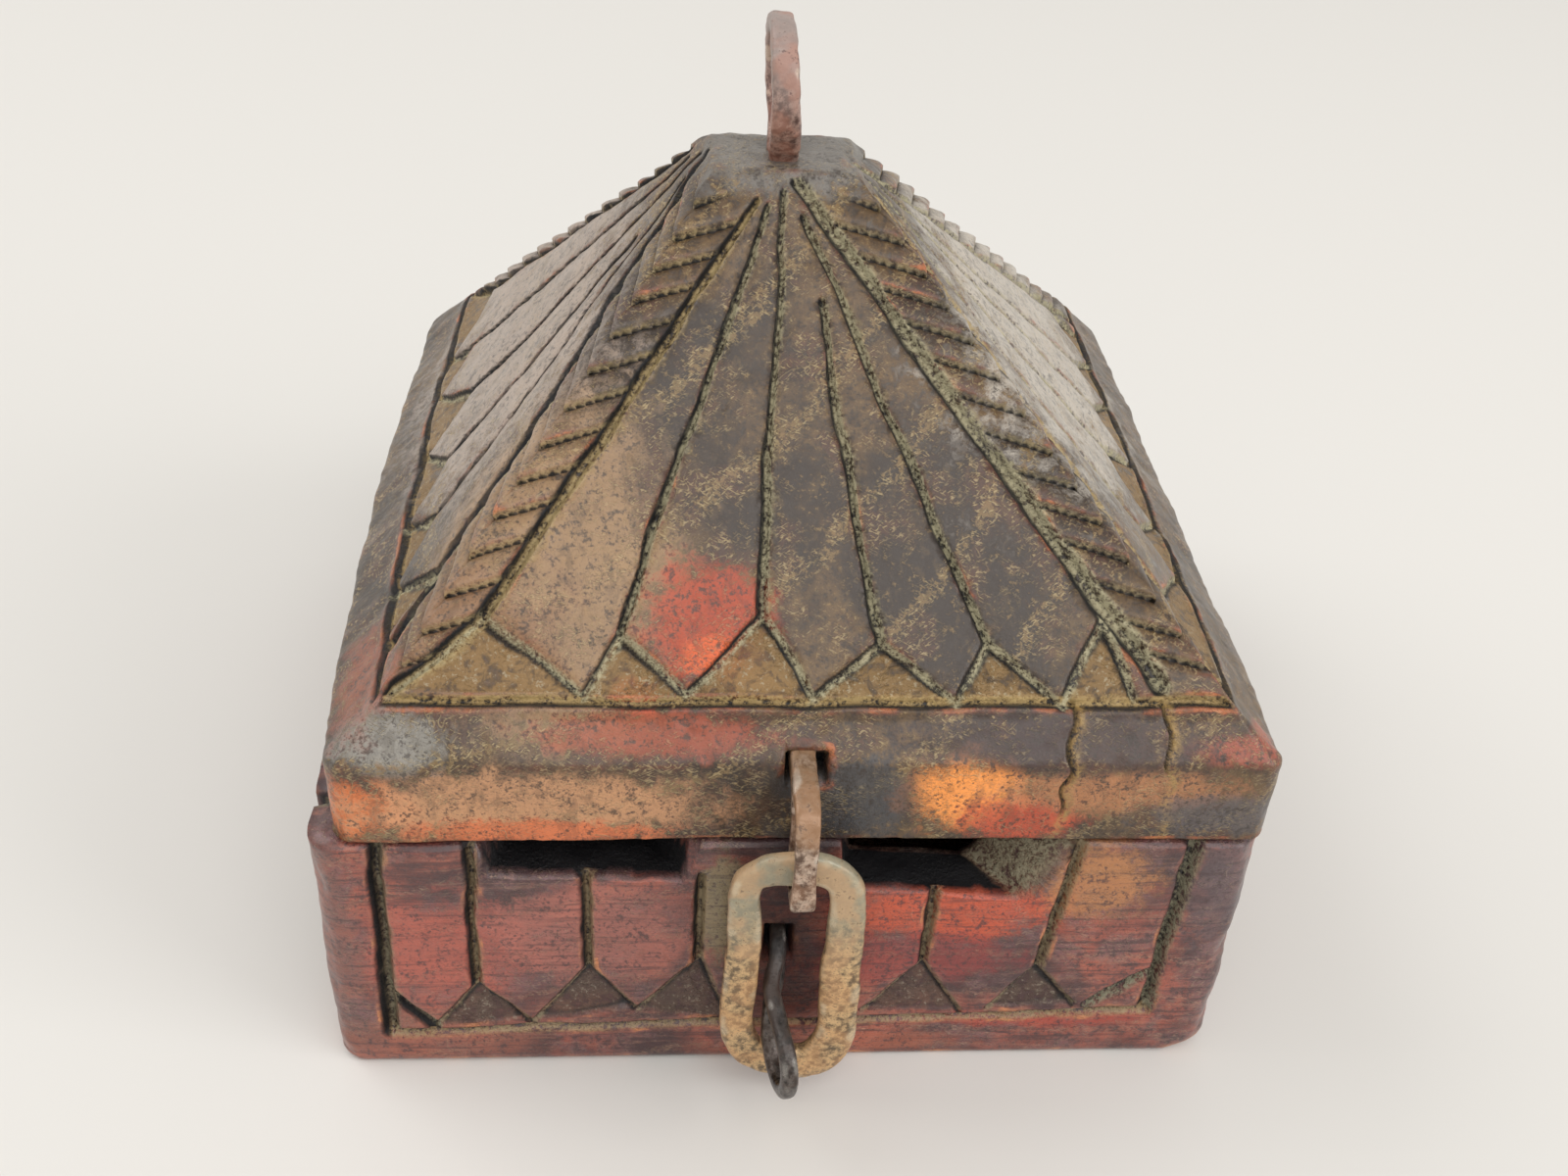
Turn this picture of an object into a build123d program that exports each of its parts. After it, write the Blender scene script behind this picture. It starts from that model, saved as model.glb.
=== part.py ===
from build123d import *
import math
import os

# Carved wooden powder box with a hinged pyramid lid and forged iron fittings.
# Millimetres. +X is to the right seen from the front, +Y to the back, +Z up.
# The origin is the middle of the body's underside.

# Body block: one piece of wood with four wells
body_width = 144.0
body_depth = 144.0
body_height = 50.0
body_corner_radius = 4.0
body_foot_radius = 1.5
body_wall = 10.5
partition_wall = 8.0
well_floor = 9.0
well_corner_radius = 7.0

# Worn scoops in the top edge of the front wall, left and right of the hasp
left_scoop_from = -47.0
left_scoop_to = -14.0
left_scoop_depth = 6.5
right_scoop_from = 7.0
right_scoop_to = 41.0
right_scoop_depth = 11.0
scoop_splay = 9.0

# Lid block: band, sloping strip, four faces and a small flat top
lid_left_setback = 4.2
lid_right_overhang = 0.2
lid_front_setback = 0.5
lid_back_overhang = 0.5
lid_front_corner_radius = 4.0
lid_rear_corner_radius = 8.0
band_height = 14.0
strip_height = 6.5
strip_run_sideways = 7.5
strip_run_frontwards = 5.75
faces_height = 57.0
flat_top_width = 23.0
flat_top_depth = 16.0
flat_top_shift_x = -3.7

# Hollow under the lid: upright walls, then a pyramid
lid_wall = 17.0
hollow_upright = 16.0
crown_thickness = 21.0
hollow_top_width = 34.0
hollow_top_depth = 30.0

# Fan of grooves on each face of the lid: places across, in shares of half the face's foot, and places
# up the slope, in shares of its length
fan_tops = ((-0.134, 0.94), (-0.104, 0.93), (-0.064, 0.96), (0.023, 0.75), (-0.011, 0.91), (-0.03, 0.98))
fan_feet = ((-0.749, 0.16), (-0.448, 0.13), (-0.118, 0.17), (0.149, 0.12), (0.405, 0.12), (0.677, 0.16))
fan_tips = (
    (-0.95, 0.03),
    (-0.525, 0.02),
    (-0.288, 0.025),
    (0.0, 0.02),
    (0.325, 0.01),
    (0.579, 0.005),
    (0.74, 0.02),
)
fan_right_end = (0.813, 0.04)
fan_groove_width = 1.8
fan_groove_depth = 1.2
fan_border_width = 2.2
fan_pocket_depth = 1.7
fan_pocket_foot_depth = 0.3
blunt_tip_width = 1.2
frame_groove_rise = 1.0
frame_groove_width = 1.7
frame_groove_depth = 1.0

# Leaves cut across each ridge of the lid, between the ridge and the fan's outer groove
leaf_count = 15
leaf_lean = 0.36
leaf_notch_width = 1.5
leaf_notch_depth = 0.9

# Tongues on each side of the body: places across, in shares of half the side, and heights of the sunk
# triangles' points, in shares of the body's height, as separator, point, left tip and right tip
front_tongue_cuts = (
    (-0.666, 0.372, -0.764, -0.561),
    (-0.427, 0.45, -0.550, -0.326),
    (-0.190, 0.48, -0.318, -0.119),
    (0.305, 0.452, 0.181, 0.401),
    (0.570, 0.436, 0.462, 0.658),
)
other_tongues = 7
other_point_height = 0.42
panel_inset = 10.8
panel_foot = 9.0
front_panel_foot_tilt = 3.2
tongue_tip_rise = 0.9
panel_groove_width = 2.6
panel_groove_depth = 2.2
separator_width = 1.8
separator_depth = 1.6
foot_groove_width = 1.7
foot_groove_depth = 1.2
corner_cut_rise = 9.5
tongue_pocket_depth = 2.1
tongue_pocket_foot_depth = 0.5

# Clearance round a pin that is clinched through wood, and how far each cut runs past what it cuts
pin_clearance = 0.15
cut_overrun = 1.0

# Loop on the lid's top
loop_strap = 3.0
loop_width = 5.2
loop_outer_radius = 10.0
loop_neck = 0.8
loop_clinch = 9.0
loop_edge_radius = 0.8

# Hasp staple on the lid's front
hasp_x = 0.7
hasp_hole_drop = 2.5
hasp_strap = 2.2
hasp_strap_width = 3.7
hasp_eye_gap = 6.4
hasp_stand_off = 1.4
hasp_eye_drop = 15.5
hasp_shoulder_radius = 5.0
hasp_foot_radius = 2.6
hasp_inner_radius = 1.2
hasp_clinch_down = 8.0
hasp_clinch_up = 4.0
hasp_edge_radius = 0.5

# Hasp link that hangs in the staple
link_width = 21.0
link_foot_height = 3.0
link_thickness = 3.0
link_side_bar = 5.5
link_end_bar = 6.0
link_outer_radius = 8.0
link_inner_radius = 3.5
link_edge_radius = 0.9
link_play = 0.3

# Lock staple on the body's front
lock_x = -1.5
lock_strap = 2.8
lock_strap_width = 2.8
lock_hole_drop = 21.5
lock_stand_off = 1.6
lock_eye_past_link = 6.3
lock_eye_drop = 10.2
lock_outer_radius = 7.0
lock_shank_length = 24.0
lock_point_length = 4.0
lock_edge_radius = 0.6

# Hinge staples at the back, in two interlocked pairs
hinge_spacing = 76.0
hinge_strap = 2.6
hinge_ring_radius = 5.1
hinge_pivot_reach = 7.5
hinge_body_hole_drop = 7.0
hinge_lid_hole_rise = 8.0
hinge_stand_off = 2.0
hinge_ring_play = 0.9
hinge_eye_corner_radius = 0.85
hinge_clinch = 6.0
hinge_edge_radius = 0.7

# Rightward and outward directions of the front, right, back and left sides
sides = (
    ((1, 0, 0), (0, -1, 0)),
    ((0, 1, 0), (1, 0, 0)),
    ((-1, 0, 0), (0, 1, 0)),
    ((0, -1, 0), (-1, 0, 0)),
)

# Places that follow from the sizes above
seam_height = body_height
band_top = seam_height + band_height
faces_foot = band_top + strip_height
flat_top_height = faces_foot + faces_height
hollow_top_height = flat_top_height - crown_thickness
body_front = -body_depth / 2
body_back = body_depth / 2
body_inner_back = body_back - body_wall
lid_left = -body_width / 2 + lid_left_setback
lid_right = body_width / 2 + lid_right_overhang
lid_front = body_front + lid_front_setback
lid_back = body_back + lid_back_overhang
lid_width = lid_right - lid_left
lid_depth = lid_back - lid_front
lid_shift_x = (lid_left + lid_right) / 2
lid_shift_y = (lid_front + lid_back) / 2
faces_width = lid_width - 2 * strip_run_sideways
faces_depth = lid_depth - 2 * strip_run_frontwards
lid_inner_front = lid_front + lid_wall
lid_inner_back = lid_back - lid_wall
loop_x = lid_shift_x + flat_top_shift_x
pivot_y = body_back + hinge_pivot_reach
pivot_z = seam_height
hasp_hole_height = band_top - hasp_hole_drop
hasp_eye_back = lid_front - hasp_stand_off - hasp_strap
hasp_eye_front = hasp_eye_back - hasp_eye_gap
hasp_eye_floor = hasp_hole_height - hasp_eye_drop + hasp_strap
link_y = (hasp_eye_back + hasp_eye_front) / 2
link_top = hasp_eye_floor + link_play + link_end_bar
link_height = link_top - link_foot_height
link_middle = link_top - link_height / 2
lock_hole_height = seam_height - lock_hole_drop
lock_eye_y = link_y - lock_eye_past_link
lock_eye_height = lock_hole_height - lock_eye_drop


def rounded_block(width, depth, height, front_radius, rear_radius):
    """Upright block on z = 0 whose front and rear corners have their own radii."""
    block = extrude(Rectangle(width, depth), amount=height)
    upright = block.edges().filter_by(Axis.Z).sort_by(Axis.Y)
    block = fillet(upright[:2], front_radius)
    upright = block.edges().filter_by(Axis.Z).sort_by(Axis.Y)
    return fillet(upright[-2:], rear_radius)


def frustum(low_width, low_depth, low_z, high_width, high_depth, high_z, shift_x=0.0):
    """Straight-sided block between two rectangles, the upper one shifted along X."""
    low = Pos(0, 0, low_z) * Rectangle(low_width, low_depth)
    high = Pos(shift_x, 0, high_z) * Rectangle(high_width, high_depth)
    return loft([low, high], ruled=True)


def bar_between(start, end, thickness):
    """Flat bar in a drawing plane, from one point to another."""
    run_x = end[0] - start[0]
    run_y = end[1] - start[1]
    angle = math.degrees(math.atan2(run_y, run_x))
    middle = ((start[0] + end[0]) / 2, (start[1] + end[1]) / 2, 0)
    return Location(middle, (0, 0, angle)) * Rectangle(math.hypot(run_x, run_y), thickness)


def strap_solid(outline, x, width, edge_radius):
    """Strap iron: an outline drawn on the YZ plane, given a width along X and eased edges."""
    solid = Pos(x, 0, 0) * extrude(Plane.YZ * outline, amount=width / 2, both=True)
    rims = solid.edges().filter_by(Axis.X, reverse=True)
    return fillet(rims, edge_radius)


def pin_hole(x, width, height, z, start_y, end_y):
    """Straight hole through wood for the two legs of a pin, along Y."""
    length = abs(end_y - start_y)
    place = Pos(x, (start_y + end_y) / 2, z)
    return place * Box(width + 2 * pin_clearance, length, height + 2 * pin_clearance)


def groove_cutter(start, end, width, depth):
    """Bar with a V section along a line in a drawing plane, as wide as its groove at the surface."""
    run = Vector(*end) - Vector(*start)
    along = run.normalized()
    section_plane = Plane(origin=(*start, 0), x_dir=(-along.Y, along.X, 0), z_dir=along)
    half_width = width / 2 * (1 + cut_overrun / depth)
    corners = [(-half_width, cut_overrun), (half_width, cut_overrun), (0, -depth)]
    section = make_face(Polyline(*corners, close=True))
    return extrude(section_plane * section, amount=run.length)


def pocket_cutter(left_tip, right_tip, point, depth, foot_depth):
    """Three-sided wedge in a drawing plane, between two blunt tips; its floor slopes down to its point."""
    left = (left_tip[0] + blunt_tip_width / 2, left_tip[1])
    right = (right_tip[0] - blunt_tip_width / 2, right_tip[1])
    outline = make_face(Polyline(left, right, point, close=True))
    prism = extrude(outline, amount=depth + cut_overrun, both=True)
    corner = Vector(*left, -foot_depth)
    foot_line = Vector(*right, -foot_depth) - corner
    slope_line = Vector(*point, -depth) - corner
    floor = Plane(origin=corner, x_dir=foot_line, z_dir=foot_line.cross(slope_line))
    return split(prism, bisect_by=floor, keep=Keep.TOP)


def crossing_cutter(ridge, border, share, slope):
    """Notch of one leaf, from a ridge up to the border groove; both are given as place and rise."""
    ridge_place, ridge_rise = ridge
    border_place, border_rise = border
    outwards = math.copysign(1, ridge_place)
    gap_at_foot = outwards * (ridge_place - border_place)
    gap_rise = outwards * (ridge_rise - border_rise)
    lean = leaf_lean / slope
    reach = (gap_at_foot + gap_rise * share) / (1 - gap_rise * lean)
    start = (ridge_place + ridge_rise * share, share * slope)
    inner_share = share + lean * reach
    end = (border_place + border_rise * inner_share, inner_share * slope)
    return groove_cutter(start, end, leaf_notch_width, leaf_notch_depth)


def leaf_cutters(half_foot, half_top, top_shift, slope):
    """Notches of the leaves along both ridges of one face."""
    cutters = []
    outer_lines = (
        (-1, fan_tips[0], fan_tops[0]),
        (1, fan_right_end, fan_tops[-1]),
    )
    for side, low_end, high_end in outer_lines:
        ridge = (side * half_foot, top_shift + side * (half_top - half_foot))
        rise = (high_end[0] - low_end[0]) / (high_end[1] - low_end[1])
        border = ((low_end[0] - rise * low_end[1]) * half_foot, rise * half_foot)
        for leaf in range(1, leaf_count - 1):
            cutters.append(crossing_cutter(ridge, border, leaf / leaf_count, slope))
    return cutters


def fan_cutters(half_foot, half_top, top_shift, slope):
    """Grooves, sunk triangles, frame groove and leaves of one face, drawn from the middle of its foot."""
    tops, feet, tips, (right_end,) = (
        [(across * half_foot, up * slope) for across, up in places]
        for places in (fan_tops, fan_feet, fan_tips, (fan_right_end,))
    )
    frame_left = (-half_foot, frame_groove_rise)
    frame_right = (half_foot, frame_groove_rise)
    cutters = [
        groove_cutter(tops[0], feet[0], fan_border_width, fan_groove_depth),
        groove_cutter(feet[0], tips[0], fan_border_width, fan_groove_depth),
        groove_cutter(tops[-1], right_end, fan_border_width, fan_groove_depth),
        groove_cutter(frame_left, frame_right, frame_groove_width, frame_groove_depth),
    ]
    for top, foot in zip(tops[1:-1], feet[1:-1]):
        end = (foot[0], foot[1] - cut_overrun)
        cutters.append(groove_cutter(top, end, fan_groove_width, fan_groove_depth))
    for left, right, point in zip(tips, tips[1:], feet):
        cutters.append(pocket_cutter(left, right, point, fan_pocket_depth, fan_pocket_foot_depth))
    return cutters + leaf_cutters(half_foot, half_top, top_shift, slope)


def carve_lid_face(wood, rightwards, outwards):
    """Cuts the fan into one face of a lid that stands round the Z axis."""
    right, out = Vector(*rightwards), Vector(*outwards)
    half_foot = abs(right.X) * faces_width / 2 + abs(right.Y) * faces_depth / 2
    half_top = abs(right.X) * flat_top_width / 2 + abs(right.Y) * flat_top_depth / 2
    foot_reach = abs(out.X) * faces_width / 2 + abs(out.Y) * faces_depth / 2
    top_reach = abs(out.X) * flat_top_width / 2 + abs(out.Y) * flat_top_depth / 2 + out.X * flat_top_shift_x
    foot = out * foot_reach + Vector(0, 0, faces_foot)
    up = out * (top_reach - foot_reach) + Vector(0, 0, faces_height)
    face = Plane(origin=foot, x_dir=right, z_dir=right.cross(up))
    cutters = fan_cutters(half_foot, half_top, right.X * flat_top_shift_x, up.length)
    return wood - [face.location * cutter for cutter in cutters]


def tongue_cutters(half_side, tongue_cuts, foot_tilt):
    """Grooves and sunk triangles of one side of the body, drawn from the middle of its foot."""
    half_panel = half_side - panel_inset
    top = body_height + cut_overrun
    left_foot = (-half_panel, panel_foot - foot_tilt / 2)
    right_foot = (half_panel, panel_foot + foot_tilt / 2)
    cutters = [
        groove_cutter((-half_panel, top), left_foot, panel_groove_width, panel_groove_depth),
        groove_cutter((half_panel, top), right_foot, panel_groove_width, panel_groove_depth),
        groove_cutter(left_foot, right_foot, foot_groove_width, foot_groove_depth),
    ]
    tips = []
    for separator, point_height, left, right in tongue_cuts:
        point = (separator * half_side, point_height * body_height)
        end = (point[0], point[1] - cut_overrun)
        left_tip, right_tip = (
            (share * half_side, panel_foot + foot_tilt / 2 * share + tongue_tip_rise)
            for share in (left, right)
        )
        cutters.append(groove_cutter((point[0], top), end, separator_width, separator_depth))
        cutters.append(
            pocket_cutter(left_tip, right_tip, point, tongue_pocket_depth, tongue_pocket_foot_depth)
        )
        tips += [left_tip, right_tip]
    for foot, tip in ((left_foot, tips[0]), (right_foot, tips[-1])):
        cutters.append(
            groove_cutter((foot[0], foot[1] + corner_cut_rise), tip, foot_groove_width, foot_groove_depth)
        )
    return cutters


def even_tongue_cuts(half_side):
    """Tongue cuts that share one side's panel evenly."""
    half_panel = (half_side - panel_inset) / half_side
    half_tongue = half_panel / other_tongues
    separators = [(2 * number - other_tongues) * half_tongue for number in range(1, other_tongues)]
    return [(place, other_point_height, place - half_tongue, place + half_tongue) for place in separators]


def carve_body_side(wood, rightwards, outwards):
    """Cuts the tongues into one side of the body; the front has its own, round the hasp."""
    right, out = Vector(*rightwards), Vector(*outwards)
    half_side = abs(right.X) * body_width / 2 + abs(right.Y) * body_depth / 2
    reach = abs(out.X) * body_width / 2 + abs(out.Y) * body_depth / 2
    side = Plane(origin=out * reach, x_dir=right, z_dir=out)
    if out.Y < 0:
        cutters = tongue_cutters(half_side, front_tongue_cuts, front_panel_foot_tilt)
    else:
        cutters = tongue_cutters(half_side, even_tongue_cuts(half_side), 0.0)
    return wood - [side.location * cutter for cutter in cutters]


def front_scoop(from_x, to_x, depth, splay_at_end):
    """Worn recess in the front wall's top edge, one end splayed towards the front."""
    outer = body_front - cut_overrun
    inner = body_front + body_wall + cut_overrun
    points = [
        (from_x, outer),
        (to_x, outer),
        (to_x - splay_at_end, inner),
        (from_x, inner),
    ]
    outline = make_face(Polyline(*points, close=True))
    return Pos(0, 0, body_height - depth) * extrude(outline, amount=depth + cut_overrun)


def body_block():
    """Body: a solid block with carved sides, four wells, two scoops and the holes for its pins."""
    block = rounded_block(body_width, body_depth, body_height, body_corner_radius, body_corner_radius)
    block = fillet(block.faces().sort_by(Axis.Z)[0].edges(), body_foot_radius)
    for rightwards, outwards in sides:
        block = carve_body_side(block, rightwards, outwards)
    well_width = (body_width - 2 * body_wall - partition_wall) / 2
    well_depth = (body_depth - 2 * body_wall - partition_wall) / 2
    for side_x in (-1, 1):
        for side_y in (-1, 1):
            middle_x = side_x * (well_width + partition_wall) / 2
            middle_y = side_y * (well_depth + partition_wall) / 2
            well = extrude(RectangleRounded(well_width, well_depth, well_corner_radius), amount=body_height)
            block -= Pos(middle_x, middle_y, well_floor) * well
    block -= front_scoop(left_scoop_from, left_scoop_to, left_scoop_depth, 0.0)
    block -= front_scoop(right_scoop_from, right_scoop_to, right_scoop_depth, scoop_splay)
    for side in (-1, 1):
        block -= pin_hole(
            side * hinge_spacing / 2,
            hinge_strap,
            2 * hinge_strap,
            seam_height - hinge_body_hole_drop,
            body_inner_back - cut_overrun,
            body_back + cut_overrun,
        )
    return block - lock_staple()


def lid_block():
    """Lid: band, sloping strip and carved pyramid, hollow underneath, with the holes for its pins."""
    band = Pos(0, 0, seam_height) * rounded_block(
        lid_width, lid_depth, band_height, lid_front_corner_radius, lid_rear_corner_radius
    )
    strip = frustum(lid_width, lid_depth, band_top, faces_width, faces_depth, faces_foot)
    corners = Pos(0, 0, band_top) * rounded_block(
        lid_width, lid_depth, strip_height, lid_front_corner_radius, lid_rear_corner_radius
    )
    faces = frustum(
        faces_width,
        faces_depth,
        faces_foot,
        flat_top_width,
        flat_top_depth,
        flat_top_height,
        flat_top_shift_x,
    )
    hollow_width = lid_width - 2 * lid_wall
    hollow_depth = lid_depth - 2 * lid_wall
    hollow_bend = seam_height + hollow_upright
    upright = extrude(Rectangle(hollow_width, hollow_depth), amount=hollow_upright)
    hollow = Pos(0, 0, seam_height) * upright
    hollow += frustum(
        hollow_width, hollow_depth, hollow_bend, hollow_top_width, hollow_top_depth, hollow_top_height
    )
    wood = band + (strip & corners) + faces - hollow
    for rightwards, outwards in sides:
        wood = carve_lid_face(wood, rightwards, outwards)
    lid = Pos(lid_shift_x, lid_shift_y, 0) * wood
    lid -= pin_hole(
        hasp_x,
        hasp_strap_width,
        2 * hasp_strap,
        hasp_hole_height,
        lid_front - cut_overrun,
        lid_inner_front + cut_overrun,
    )
    for side in (-1, 1):
        lid -= pin_hole(
            side * hinge_spacing / 2,
            2 * hinge_strap,
            hinge_strap,
            seam_height + hinge_lid_hole_rise,
            lid_inner_back - cut_overrun,
            lid_back + cut_overrun,
        )
    loop_hole = Box(
        loop_width + 2 * pin_clearance,
        2 * loop_strap + 2 * pin_clearance,
        crown_thickness + 2 * cut_overrun,
    )
    return lid - Pos(loop_x, lid_shift_y, (flat_top_height + hollow_top_height) / 2) * loop_hole


def lid_loop():
    """Eye of strap iron on the flat top; its two legs go down through the crown and are clinched."""
    centre_height = flat_top_height + loop_neck + loop_outer_radius
    clinch_height = hollow_top_height - loop_strap / 2
    middle_y = lid_shift_y
    outline = Pos(middle_y, centre_height) * Circle(loop_outer_radius)
    outline += bar_between((middle_y, centre_height), (middle_y, clinch_height), 2 * loop_strap)
    outline += bar_between(
        (middle_y - loop_clinch, clinch_height), (middle_y + loop_clinch, clinch_height), loop_strap
    )
    outline -= Pos(middle_y, centre_height) * Circle(loop_outer_radius - loop_strap)
    return strap_solid(outline, loop_x, loop_width, loop_edge_radius)


def hasp_staple():
    """Long narrow eye that stands out from the lid's band and hangs below the seam."""
    outer_top = hasp_hole_height + hasp_strap
    outer_foot = hasp_eye_floor - hasp_strap
    outer_front = hasp_eye_front - hasp_strap
    outer_back = hasp_eye_back + hasp_strap
    corners = [
        (outer_front, outer_foot),
        (outer_back, outer_foot),
        (outer_back, outer_top),
        (outer_front, outer_top),
    ]
    outer = make_face(Polyline(*corners, close=True))
    low_corners = outer.vertices().sort_by(Axis.Y)[:2]
    outer = fillet(low_corners, hasp_foot_radius)
    shoulder = outer.vertices().sort_by(lambda vertex: vertex.X - vertex.Y)[0]
    outer = fillet(shoulder, hasp_shoulder_radius)
    inner = Pos(link_y, (hasp_eye_floor + hasp_hole_height) / 2) * RectangleRounded(
        hasp_eye_gap, hasp_hole_height - hasp_eye_floor, hasp_inner_radius
    )
    clinch_y = lid_inner_front + hasp_strap / 2
    clinch_foot = (clinch_y, hasp_hole_height - hasp_clinch_down)
    clinch_head = (clinch_y, hasp_hole_height + hasp_clinch_up)
    outline = outer - inner
    outline += bar_between((hasp_eye_back, hasp_hole_height), (clinch_y, hasp_hole_height), 2 * hasp_strap)
    outline += bar_between(clinch_foot, clinch_head, hasp_strap)
    return strap_solid(outline, hasp_x, hasp_strap_width, hasp_edge_radius)


def hasp_link():
    """Flattened forged link; its upper bar rests in the hasp staple."""
    outline = RectangleRounded(link_width, link_height, link_outer_radius) - RectangleRounded(
        link_width - 2 * link_side_bar, link_height - 2 * link_end_bar, link_inner_radius
    )
    solid = extrude(Plane.XZ * outline, amount=link_thickness / 2, both=True)
    solid = fillet(solid.edges().filter_by(Axis.Y, reverse=True), link_edge_radius)
    return Pos(hasp_x, link_y, link_middle) * solid


def lock_staple():
    """Drooping eye that passes through the link; its legs are driven into the middle partition."""
    eye = (lock_eye_y, lock_eye_height)
    elbow = (body_front - lock_stand_off, lock_hole_height)
    shank_end = body_front + lock_shank_length
    outline = Pos(*eye) * Circle(lock_outer_radius)
    outline += bar_between(eye, elbow, 2 * lock_strap)
    outline += Pos(*elbow) * Circle(lock_strap)
    outline += bar_between(elbow, (shank_end, lock_hole_height), 2 * lock_strap)
    outline += make_face(Polyline(
        (shank_end, lock_hole_height - lock_strap),
        (shank_end + lock_point_length, lock_hole_height),
        (shank_end, lock_hole_height + lock_strap),
        close=True,
    ))
    outline -= Pos(*eye) * Circle(lock_outer_radius - lock_strap)
    return strap_solid(outline, lock_x, lock_strap_width, lock_edge_radius)


def hinge_staple_body(x):
    """Upright ring behind the body; its legs go through the back wall and are clinched in a well."""
    hole_height = seam_height - hinge_body_hole_drop
    elbow = (body_back + hinge_stand_off, hole_height)
    clinch_y = body_inner_back - hinge_strap / 2
    pivot = (pivot_y, pivot_z)
    clinch_foot = (clinch_y, hole_height - hinge_clinch)
    clinch_head = (clinch_y, hole_height + hinge_clinch)
    outline = Pos(*pivot) * Circle(hinge_ring_radius)
    outline += bar_between(pivot, elbow, 2 * hinge_strap)
    outline += Pos(*elbow) * Circle(hinge_strap)
    outline += bar_between(elbow, (clinch_y, hole_height), 2 * hinge_strap)
    outline += bar_between(clinch_foot, clinch_head, hinge_strap)
    outline -= Pos(*pivot) * Circle(hinge_ring_radius - hinge_strap)
    return strap_solid(outline, x, hinge_strap, hinge_edge_radius)


def hinge_staple_lid(x):
    """Eye that lies across the ring, its far bar through it; its legs go into the lid's back wall."""
    hole_height = seam_height + hinge_lid_hole_rise
    elbow_y = lid_back + hinge_stand_off
    run = math.hypot(elbow_y - pivot_y, hole_height - pivot_z)
    rise_angle = math.atan2(hole_height - pivot_z, pivot_y - elbow_y)
    inner_half = hinge_strap / 2 + hinge_ring_play
    inner_end = hinge_ring_radius + hinge_ring_play
    outer = Pos(0, (inner_end + hinge_strap / 2) / 2) * RectangleRounded(
        2 * (inner_half + hinge_strap), inner_end + 2 * hinge_strap - hinge_strap / 2, hinge_strap
    )
    inner = Pos(0, (hinge_strap / 2 + inner_end) / 2) * RectangleRounded(
        2 * inner_half, inner_end - hinge_strap / 2, hinge_eye_corner_radius
    )
    neck = bar_between((0, inner_end + hinge_strap / 2), (0, run), 2 * hinge_strap)
    eye_plane = Plane(
        origin=(x, pivot_y, pivot_z),
        x_dir=(1, 0, 0),
        z_dir=(0, -math.sin(rise_angle), -math.cos(rise_angle)),
    )
    eye = extrude(outer - inner + neck, amount=hinge_strap / 2, both=True)
    eye = fillet(eye.edges().filter_by(Axis.Z, reverse=True), hinge_edge_radius)
    elbow = Pos(x, elbow_y, hole_height) * Rot(0, 90, 0) * Cylinder(hinge_strap / 2, 2 * hinge_strap)
    clinch_y = lid_inner_back - hinge_strap / 2
    shank_middle = (elbow_y + clinch_y) / 2
    shank = Pos(x, shank_middle, hole_height) * Box(2 * hinge_strap, elbow_y - clinch_y, hinge_strap)
    clinch = Pos(x, clinch_y, hole_height) * Box(2 * hinge_clinch, hinge_strap, hinge_strap)
    return eye_plane.location * eye + elbow + shank + clinch


os.makedirs("parts", exist_ok=True)
pieces = {
    "body_block": body_block(),
    "lid_block": lid_block(),
    "lid_loop": lid_loop(),
    "hasp_staple": hasp_staple(),
    "hasp_link": hasp_link(),
    "lock_staple": lock_staple(),
    "hinge_staple_body_left": hinge_staple_body(-hinge_spacing / 2),
    "hinge_staple_body_right": hinge_staple_body(hinge_spacing / 2),
    "hinge_staple_lid_left": hinge_staple_lid(-hinge_spacing / 2),
    "hinge_staple_lid_right": hinge_staple_lid(hinge_spacing / 2),
}
for name, piece in pieces.items():
    export_step(piece, f"parts/{name}.step")
    size = piece.bounding_box().size
    print(f"{name}: {size.X:.1f} x {size.Y:.1f} x {size.Z:.1f} mm, {piece.volume / 1000:.1f} cm3")
print(f"lid hinge axis along X at y {pivot_y:.2f}, z {pivot_z:.2f}")
print(f"hasp link axis along X at y {link_y:.2f}, z {link_top - link_end_bar / 2:.2f}")
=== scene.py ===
"""Looks of a carved wooden powder box: worn wood, a fan-carved pyramid lid and forged iron fittings.

Sizes are in millimetres until a mesh is made, but those of the floor and the lamps are in metres.
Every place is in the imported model's frame: +X to the right seen from the front, +Y to the back, +Z up,
the origin under the middle of the body.
"""

import logging
from collections.abc import Callable
from dataclasses import dataclass
from enum import Enum

import bpy
import numpy as np
from mathutils import Matrix, Vector
from mathutils.geometry import delaunay_2d_cdt


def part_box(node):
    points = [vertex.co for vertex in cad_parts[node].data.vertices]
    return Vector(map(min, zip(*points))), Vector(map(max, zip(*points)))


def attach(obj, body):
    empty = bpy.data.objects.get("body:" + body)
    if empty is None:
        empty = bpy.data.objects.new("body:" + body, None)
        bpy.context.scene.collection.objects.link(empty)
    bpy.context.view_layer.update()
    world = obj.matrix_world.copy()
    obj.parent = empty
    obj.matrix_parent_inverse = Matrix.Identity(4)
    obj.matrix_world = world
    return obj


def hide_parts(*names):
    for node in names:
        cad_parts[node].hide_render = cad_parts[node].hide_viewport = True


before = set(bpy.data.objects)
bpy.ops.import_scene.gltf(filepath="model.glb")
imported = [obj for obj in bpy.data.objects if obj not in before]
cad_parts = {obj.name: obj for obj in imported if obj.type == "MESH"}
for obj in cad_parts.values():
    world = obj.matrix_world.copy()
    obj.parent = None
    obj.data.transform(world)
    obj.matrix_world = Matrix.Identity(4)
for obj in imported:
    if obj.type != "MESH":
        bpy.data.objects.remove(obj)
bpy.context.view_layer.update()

MILLIMETRE = 0.001
MOST_TRIANGLES = 190_000
SPLINE_PLACES = 1200
FAN_DEPTH = 1.3

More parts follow.
